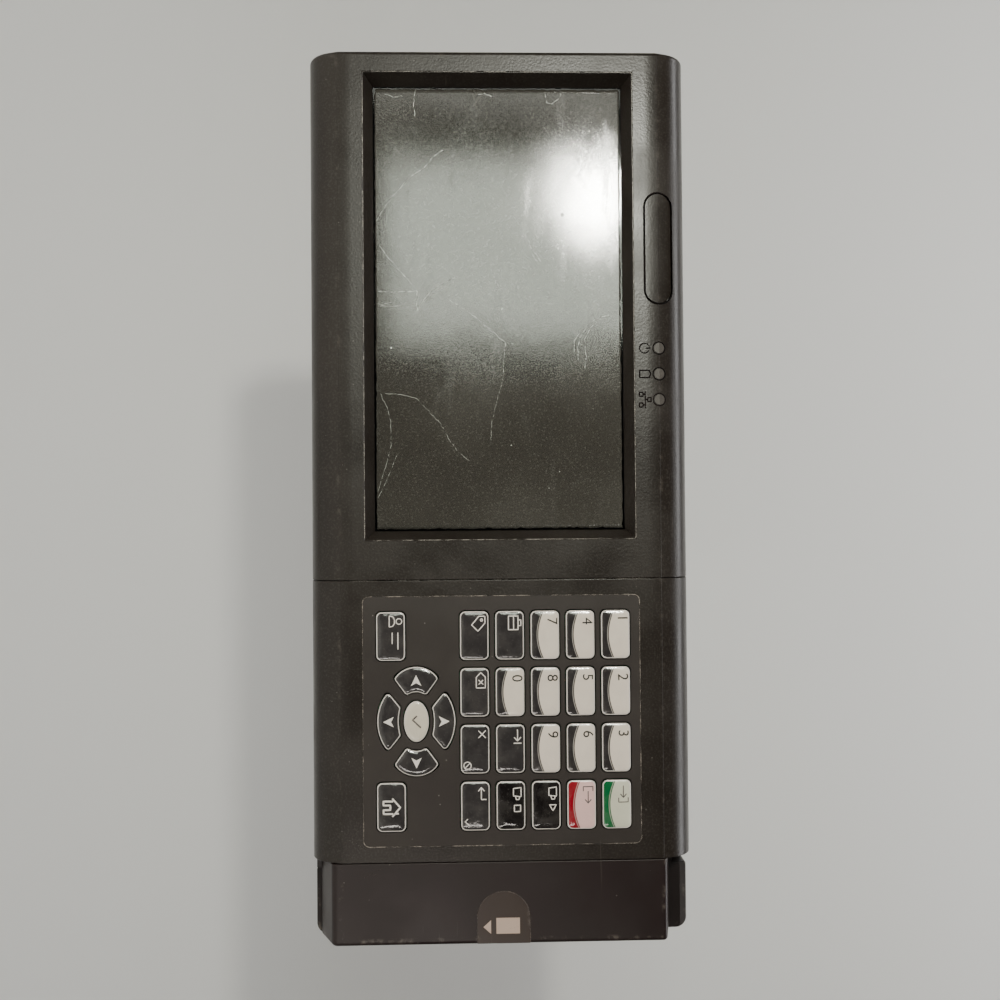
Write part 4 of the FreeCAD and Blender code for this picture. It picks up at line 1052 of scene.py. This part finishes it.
# generic pictograms in place of words; mm from the key's centre
cup = [[(-6.4, 3.6), (-6.1, 0.9), (-3.5, 0.9), (-3.2, 3.6), (-6.4, 3.6)],
       [(-3.2, 3.1), (-2.2, 2.9), (-2.2, 1.9), (-3.3, 1.6)]]
pictograms = {
    "clock_in": [[(-2.4, 4.0), (-0.8, 4.0), (-0.8, 0.6), (-2.4, 0.6)], [(-6.6, 2.3), (-2.4, 2.3)],
                 [(-3.7, 3.4), (-2.4, 2.3), (-3.7, 1.2)]],
    "clock_out": [[(-4.8, 4.0), (-6.4, 4.0), (-6.4, 0.6), (-4.8, 0.6)], [(-4.8, 2.3), (-0.6, 2.3)],
                  [(-1.9, 3.4), (-0.6, 2.3), (-1.9, 1.2)]],
    "break_start": cup + [[(-0.2, 3.5), (-0.2, 1.1), (1.9, 2.3), (-0.2, 3.5)]],
    "break_end": cup + [[(-0.2, 3.4), (2.0, 3.4), (2.0, 1.2), (-0.2, 1.2), (-0.2, 3.4)]],
    "job": [[(-6.8, 3.0), (-2.0, 3.0), (-2.0, -0.4), (-6.8, -0.4), (-6.8, 3.0)],
            [(-5.4, 3.0), (-5.4, 4.0), (-3.4, 4.0), (-3.4, 3.0)], [(-6.8, 1.4), (-2.0, 1.4)]],
    "cost": [[(-6.8, 3.8), (-4.4, 3.8), (-1.6, 1.3), (-3.8, -0.9), (-6.8, 1.6), (-6.8, 3.8)],
             arcLine(-5.5, 2.6, 0.4, steps=10)],
    "tab": [[(-6.8, 2.5), (-2.8, 2.5)], [(-4.1, 3.7), (-2.8, 2.5), (-4.1, 1.3)], [(-2.0, 3.9), (-2.0, 1.1)]],
    "backspace": [[(-7.0, 2.2), (-5.4, 3.8), (-1.6, 3.8), (-1.6, 0.6), (-5.4, 0.6), (-7.0, 2.2)],
                  [(-4.4, 3.0), (-2.8, 1.4)], [(-4.4, 1.4), (-2.8, 3.0)]],
    "escape": [[(-6.6, 3.8), (-4.0, 1.2)], [(-6.6, 1.2), (-4.0, 3.8)], arcLine(5.7, -2.7, 1.3),
               [(4.8, -1.8), (6.6, -3.6)]],
    "enter": [[(-2.4, 3.9), (-2.4, 2.1), (-6.6, 2.1)], [(-5.3, 3.2), (-6.6, 2.1), (-5.3, 1.0)],
              [(4.4, -2.7), (5.4, -3.7), (7.0, -1.6)]],
    "self_service": [arcLine(-5.3, 3.0, 1.0, steps=14), [(-7.2, -0.4), (-7.0, 0.8), (-6.0, 1.4), (-4.6, 1.4),
                     (-3.6, 0.8), (-3.4, -0.4), (-7.2, -0.4)],
                     [(-1.4, 2.6), (4.6, 2.6)], [(-1.4, 0.6), (2.6, 0.6)]],
    "select": [[(-2.0, 0.2), (-0.6, -1.3), (2.1, 1.6)]],
    "home": [[(-3.2, 0.3), (0.0, 3.1), (3.2, 0.3)], [(-2.2, 0.6), (-2.2, -2.8), (-0.8, -2.8), (-0.8, -0.4),
             (0.8, -0.4), (0.8, -2.8), (2.2, -2.8), (2.2, 0.6)], [(2.1, 2.6), (2.1, 1.6)]],
}
strokeWidths = {"usual": 0.42, "home": 0.70, "select": 0.60}
legendLift = 0.022
arrowHead = [(-2.0, 0.0), (1.8, 1.85), (0.8, 0.0), (1.8, -1.85)]
arrowTurns = {"left": 0, "down": 90, "right": 180, "up": 270}
digitPlace = {"left": -6.0, "top": 4.45, "size": 5.3, "depth": 0.012, "slim": 0.01}


def digitPrint(digit, centre):
    deselectAll()
    bpy.ops.object.text_add()
    text = bpy.context.object
    text.data.body = digit
    text.data.size = digitPlace["size"] * mm
    text.data.extrude = digitPlace["depth"] * mm
    text.data.offset = -digitPlace["slim"] * mm
    text.data.resolution_u = 5
    bpy.ops.object.convert(target="MESH")
    piece = bpy.context.object
    left = min(v.co.x for v in piece.data.vertices)
    top = max(v.co.y for v in piece.data.vertices)
    startX, topZ = centre[0] + digitPlace["left"] * mm, centre[1] + digitPlace["top"] * mm
    for vertex in piece.data.vertices:
        x, y, z = vertex.co
        vertex.co = (startX + x - left, -z, topZ + y - top)
    closeUp(piece)
    editAll(piece)
    bpy.ops.mesh.subdivide(number_cuts=3)
    bpy.ops.object.mode_set(mode="OBJECT")
    return piece


def makeLegend(name, keyPiece):
    centre, short = nodeCentre(name), name[4:]
    ink = "dark" if short.isdigit() else "grey" if short in ("clock_in", "clock_out", "select") else "pale"
    if short.isdigit():
        piece = digitPrint(short, centre)
    elif short in arrowTurns:
        turn = math.radians(arrowTurns[short])
        c, s = math.cos(turn), math.sin(turn)
        outline = [(centre[0] + (u * c - v * s) * mm, centre[1] + (u * s + v * c) * mm) for u, v in arrowHead]
        piece = shapedPlate(name, outline, 0.0)
        thicken(piece, 0.02 * mm)
    else:
        piece = penStrokes(name, pictograms[short], strokeWidths.get(short, strokeWidths["usual"]), centre)
    drape(piece, [keyPiece], legendLift * mm)
    settle(piece, name + "_legend", name + "_body", inks[ink])


def makeKeys():
    # the block key is modelled once, and every other block key is a copy of it
    blockCentre = nodeCentre("key_0")
    width, height, radius = (v * mm for v in keySizes["block"])
    block = roundedPlate("blockKey", blockCentre, width, height, radius, frontY + keySizes["foot"] * mm, 6, 3)
    for material in (keySide, inks["outline"], keyFaces["light"]):
        block.data.materials.append(material)
    pillow(block, blockCentre, keySizes["blockSteps"])
    for name in keyNames:
        centre, short = nodeCentre(name), name[4:]
        if short in arrowTurns:
            piece = shapedPlate(name, fanOutline(short), frontY + keySizes["foot"] * mm)
        elif short == "select":
            deselectAll()
            bpy.ops.mesh.primitive_circle_add(
                vertices=40, radius=0.5, fill_type="NGON", rotation=(math.pi / 2, 0, 0),
                location=(centre[0], frontY + keySizes["foot"] * mm, centre[1]))
            piece = bpy.context.object
            piece.scale = (keySizes["oval"][0] * mm, keySizes["oval"][1] * mm, 1)
            bpy.ops.object.transform_apply(location=True, rotation=True, scale=True)
        else:
            piece = block if name == "key_0" else block.copy()
            if name != "key_0":
                piece.data = block.data.copy()
                bpy.context.scene.collection.objects.link(piece)
                piece.location = (centre[0] - blockCentre[0], 0, centre[1] - blockCentre[1])
        kind = keyKinds.get(name, "light" if short.isdigit() else "dark")
        if piece.data.materials:
            piece.data.materials[2] = keyFaces[kind]
        else:
            for material in (keySide, inks["outline"], keyFaces[kind]):
                piece.data.materials.append(material)
            pillow(piece, centre, keySizes["fanSteps"])
        settle(piece, name + "_cap", name + "_body")
        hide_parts(name)
        makeLegend(name, piece)
    print("keys finished:", len(keyNames))


makeKeys()


# small prints, painted shade in the seams, and worn edges (the window rim's pale line is also a painted highlight)
# on the fixed parts; all in mm from the wall plate's centre
def wearAndHighlightLine(name, colour, shown):
    # a rubbed edge: pale where the paint or grain has gone, clear elsewhere; on the window rim this pale line is
    # also a painted highlight along the edge
    material, shader = newMaterial(name, colour, 0.35)
    tree = material.node_tree
    coords = objectCoords(tree)
    broken = rampNode(tree, noiseNode(tree, coords, 260.0, 6.0, 0.75), 0.40, 0.66)
    tree.links.new(mathNode(tree, "MULTIPLY", broken, shown), shader.inputs["Alpha"])
    dark = tuple(0.6 * c for c in colour)
    tree.links.new(mixColour(tree, noiseNode(tree, coords, 900.0), dark, colour), shader.inputs["Base Color"])
    return material


def roundedLoop(cx, cz, width, height, radius):
    points = []
    reachX, reachZ = width / 2 - radius, height / 2 - radius
    for sx, sz, start in ((1, 1, 0), (-1, 1, 90), (-1, -1, 180), (1, -1, 270)):
        points += arcLine(cx + sx * reachX, cz + sz * reachZ, radius, start, start + 90, 6)
    return points + [points[0]]


statusIcons = {
    "power": [arcLine(0, -0.1, 1.75, 120, 420, 22), [(0.0, 2.1), (0.0, 0.3)]],
    "battery": [[(-1.3, -1.9), (1.3, -1.9), (1.3, 1.6), (0.6, 1.6), (0.6, 2.0), (-0.6, 2.0), (-0.6, 1.6),
                 (-1.3, 1.6), (-1.3, -1.9)]],
    "network": [[(-0.7, 2.1), (0.7, 2.1), (0.7, 0.9), (-0.7, 0.9), (-0.7, 2.1)], [(0.0, 0.9), (0.0, 0.0)],
                [(-3.1, 0.0), (3.1, 0.0)], [(-1.9, 0.0), (-1.9, -0.8)], [(1.9, 0.0), (1.9, -0.8)],
                [(-2.6, -0.8), (-1.2, -0.8), (-1.2, -2.1), (-2.6, -2.1), (-2.6, -0.8)],
                [(1.2, -0.8), (2.6, -0.8), (2.6, -2.1), (1.2, -2.1), (1.2, -0.8)]],
}
iconPlaces = {"power": (-52.0, 51.9), "battery": (-42.8, 51.9), "network": (-33.6, 51.9)}
labelGlyphs = {
    "card": [(149.35, -2.6), (154.9, -2.6), (154.9, 5.7), (149.35, 5.7)],
    "pointer": [(150.1, -4.5), (152.5, -7.2), (154.9, -4.5)],
}
seamShadeLoops = {
    # width and loops of painted shade: dark strokes along the shadowed seams round the lenses and the cover plate
    "lens": (0.40, [arcLine(x, 57.0, 2.25, steps=24) for x in (-52.0, -42.8, -33.6)]),
    "option": (0.52, [roundedLoop(-87.8, 57.15, 40.1, 10.4, 5.15)]),
}
edgeWearAndHighlights = {
    # width, share that shows, colour, lines; rubbed wear and scratches, and on the window rim a painted highlight
    # as well
    # the window's rim: a pale broken line of rubbed wear and painted highlight along the edge
    "windowRimHighlight": (0.30, 0.85, (0.40, 0.36, 0.32), [roundedLoop(-67.6, 0.0, 166.9, 96.3, 0.8)]),
    "overlayRim": (0.28, 0.90, (0.42, 0.36, 0.31), [roundedLoop(79.7, 0.0, 88.0, 98.2, 2.2)]),
    "labelRim": (0.18, 0.80, (0.30, 0.23, 0.20),
                 [[(158.0, 9.4)] + arcLine(149.3, 0, 9.4, 90, 270, 24) + [(158.0, -9.4)]]),
    "seamRim": (0.16, 0.60, (0.26, 0.23, 0.20), [[(30.05, -56.5), (30.05, 56.5)]]),
    "capScratch": (0.16, 0.80, (0.20, 0.14, 0.13),
                   [[(134.6, 55.0), (133.2, 51.6)], [(131.4, -43.0), (134.6, -49.4)],
                    [(133.0, -42.4), (133.6, -46.0)]]),
    "caseScratch": (0.12, 0.70, (0.24, 0.20, 0.18),
                    [[(124.6, -48.2), (121.0, -54.0)], [(122.8, -47.4), (120.4, -51.6)],
                     [(-12.0, -55.8), (-6.6, -56.2)], [(116.4, 53.2), (118.0, 54.6)]]),
}


# the dark moulded finish of the status icons, also used for the painted shade in the seams
markAndSeamShadeLook = {"colour": (0.004, 0.003, 0.003), "roughness": 0.85, "gloss": 0.05, "dust": 0.0}
printSizes = {"iconWidth": 0.50, "iconLift": 0.003, "seamShadeLift": 0.006, "labelDepth": 0.02, "edgeLineLift": 0.004}


def shiftY(piece, distance):
    for vertex in piece.data.vertices:
        vertex.co.y += distance


def makeSmallPrints():
    # one dark finish for the moulded status icons, and also for the painted shade in the seams
    moulded = mouldedPlastic("mouldedMarkAndSeamShade", dict(plasticLooks["guide"], **markAndSeamShadeLook))
    for name, lines in statusIcons.items():
        icon = penStrokes(name, lines, printSizes["iconWidth"], [v * mm for v in iconPlaces[name]], flat=0.06)
        shiftY(icon, frontY - printSizes["iconLift"] * mm)
        settle(icon, "icon_" + name, "terminal", moulded)
    for name, (width, lines) in seamShadeLoops.items():
        # dark strokes draped over the bezel: painted shade in the seams round the lenses and the cover plate
        seamShade = penStrokes(name, lines, width, (0, 0), flat=0.06)
        drape(seamShade, [frame["nodes"]["display_bezel"]], printSizes["seamShadeLift"] * mm)
        settle(seamShade, "seamShade_" + name, "terminal", moulded)
    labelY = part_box("swipe_label")[0].y
    for name, outline in labelGlyphs.items():
        glyph = shapedPlate(name, [(x * mm, z * mm) for x, z in outline], labelY)
        thicken(glyph, printSizes["labelDepth"] * mm)
        editAll(glyph)
        bpy.ops.mesh.bevel(offset=printSizes["labelDepth"] / 4 * mm, segments=1)
        bpy.ops.object.mode_set(mode="OBJECT")
        closeUp(glyph)
        settle(glyph, "label_" + name, "terminal", inks["label"])
    for name, (width, shown, colour, lines) in edgeWearAndHighlights.items():
        # pale broken lines along edges: wear and scratches, and on the window rim also a painted highlight
        edge = penStrokes(name, lines, width, (0, 0), flat=0.10)
        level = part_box("keypad_overlay")[0].y if name == "overlayRim" else frontY
        shiftY(edge, level - printSizes["edgeLineLift"] * mm)
        settle(edge, "worn_" + name, "terminal", wearAndHighlightLine(name + "Wear", colour, shown))
    print("icons, label and worn edges finished")


inks["label"] = printInk("labelInk", (0.56, 0.41, 0.34), 0.40, 0.25)
makeSmallPrints()
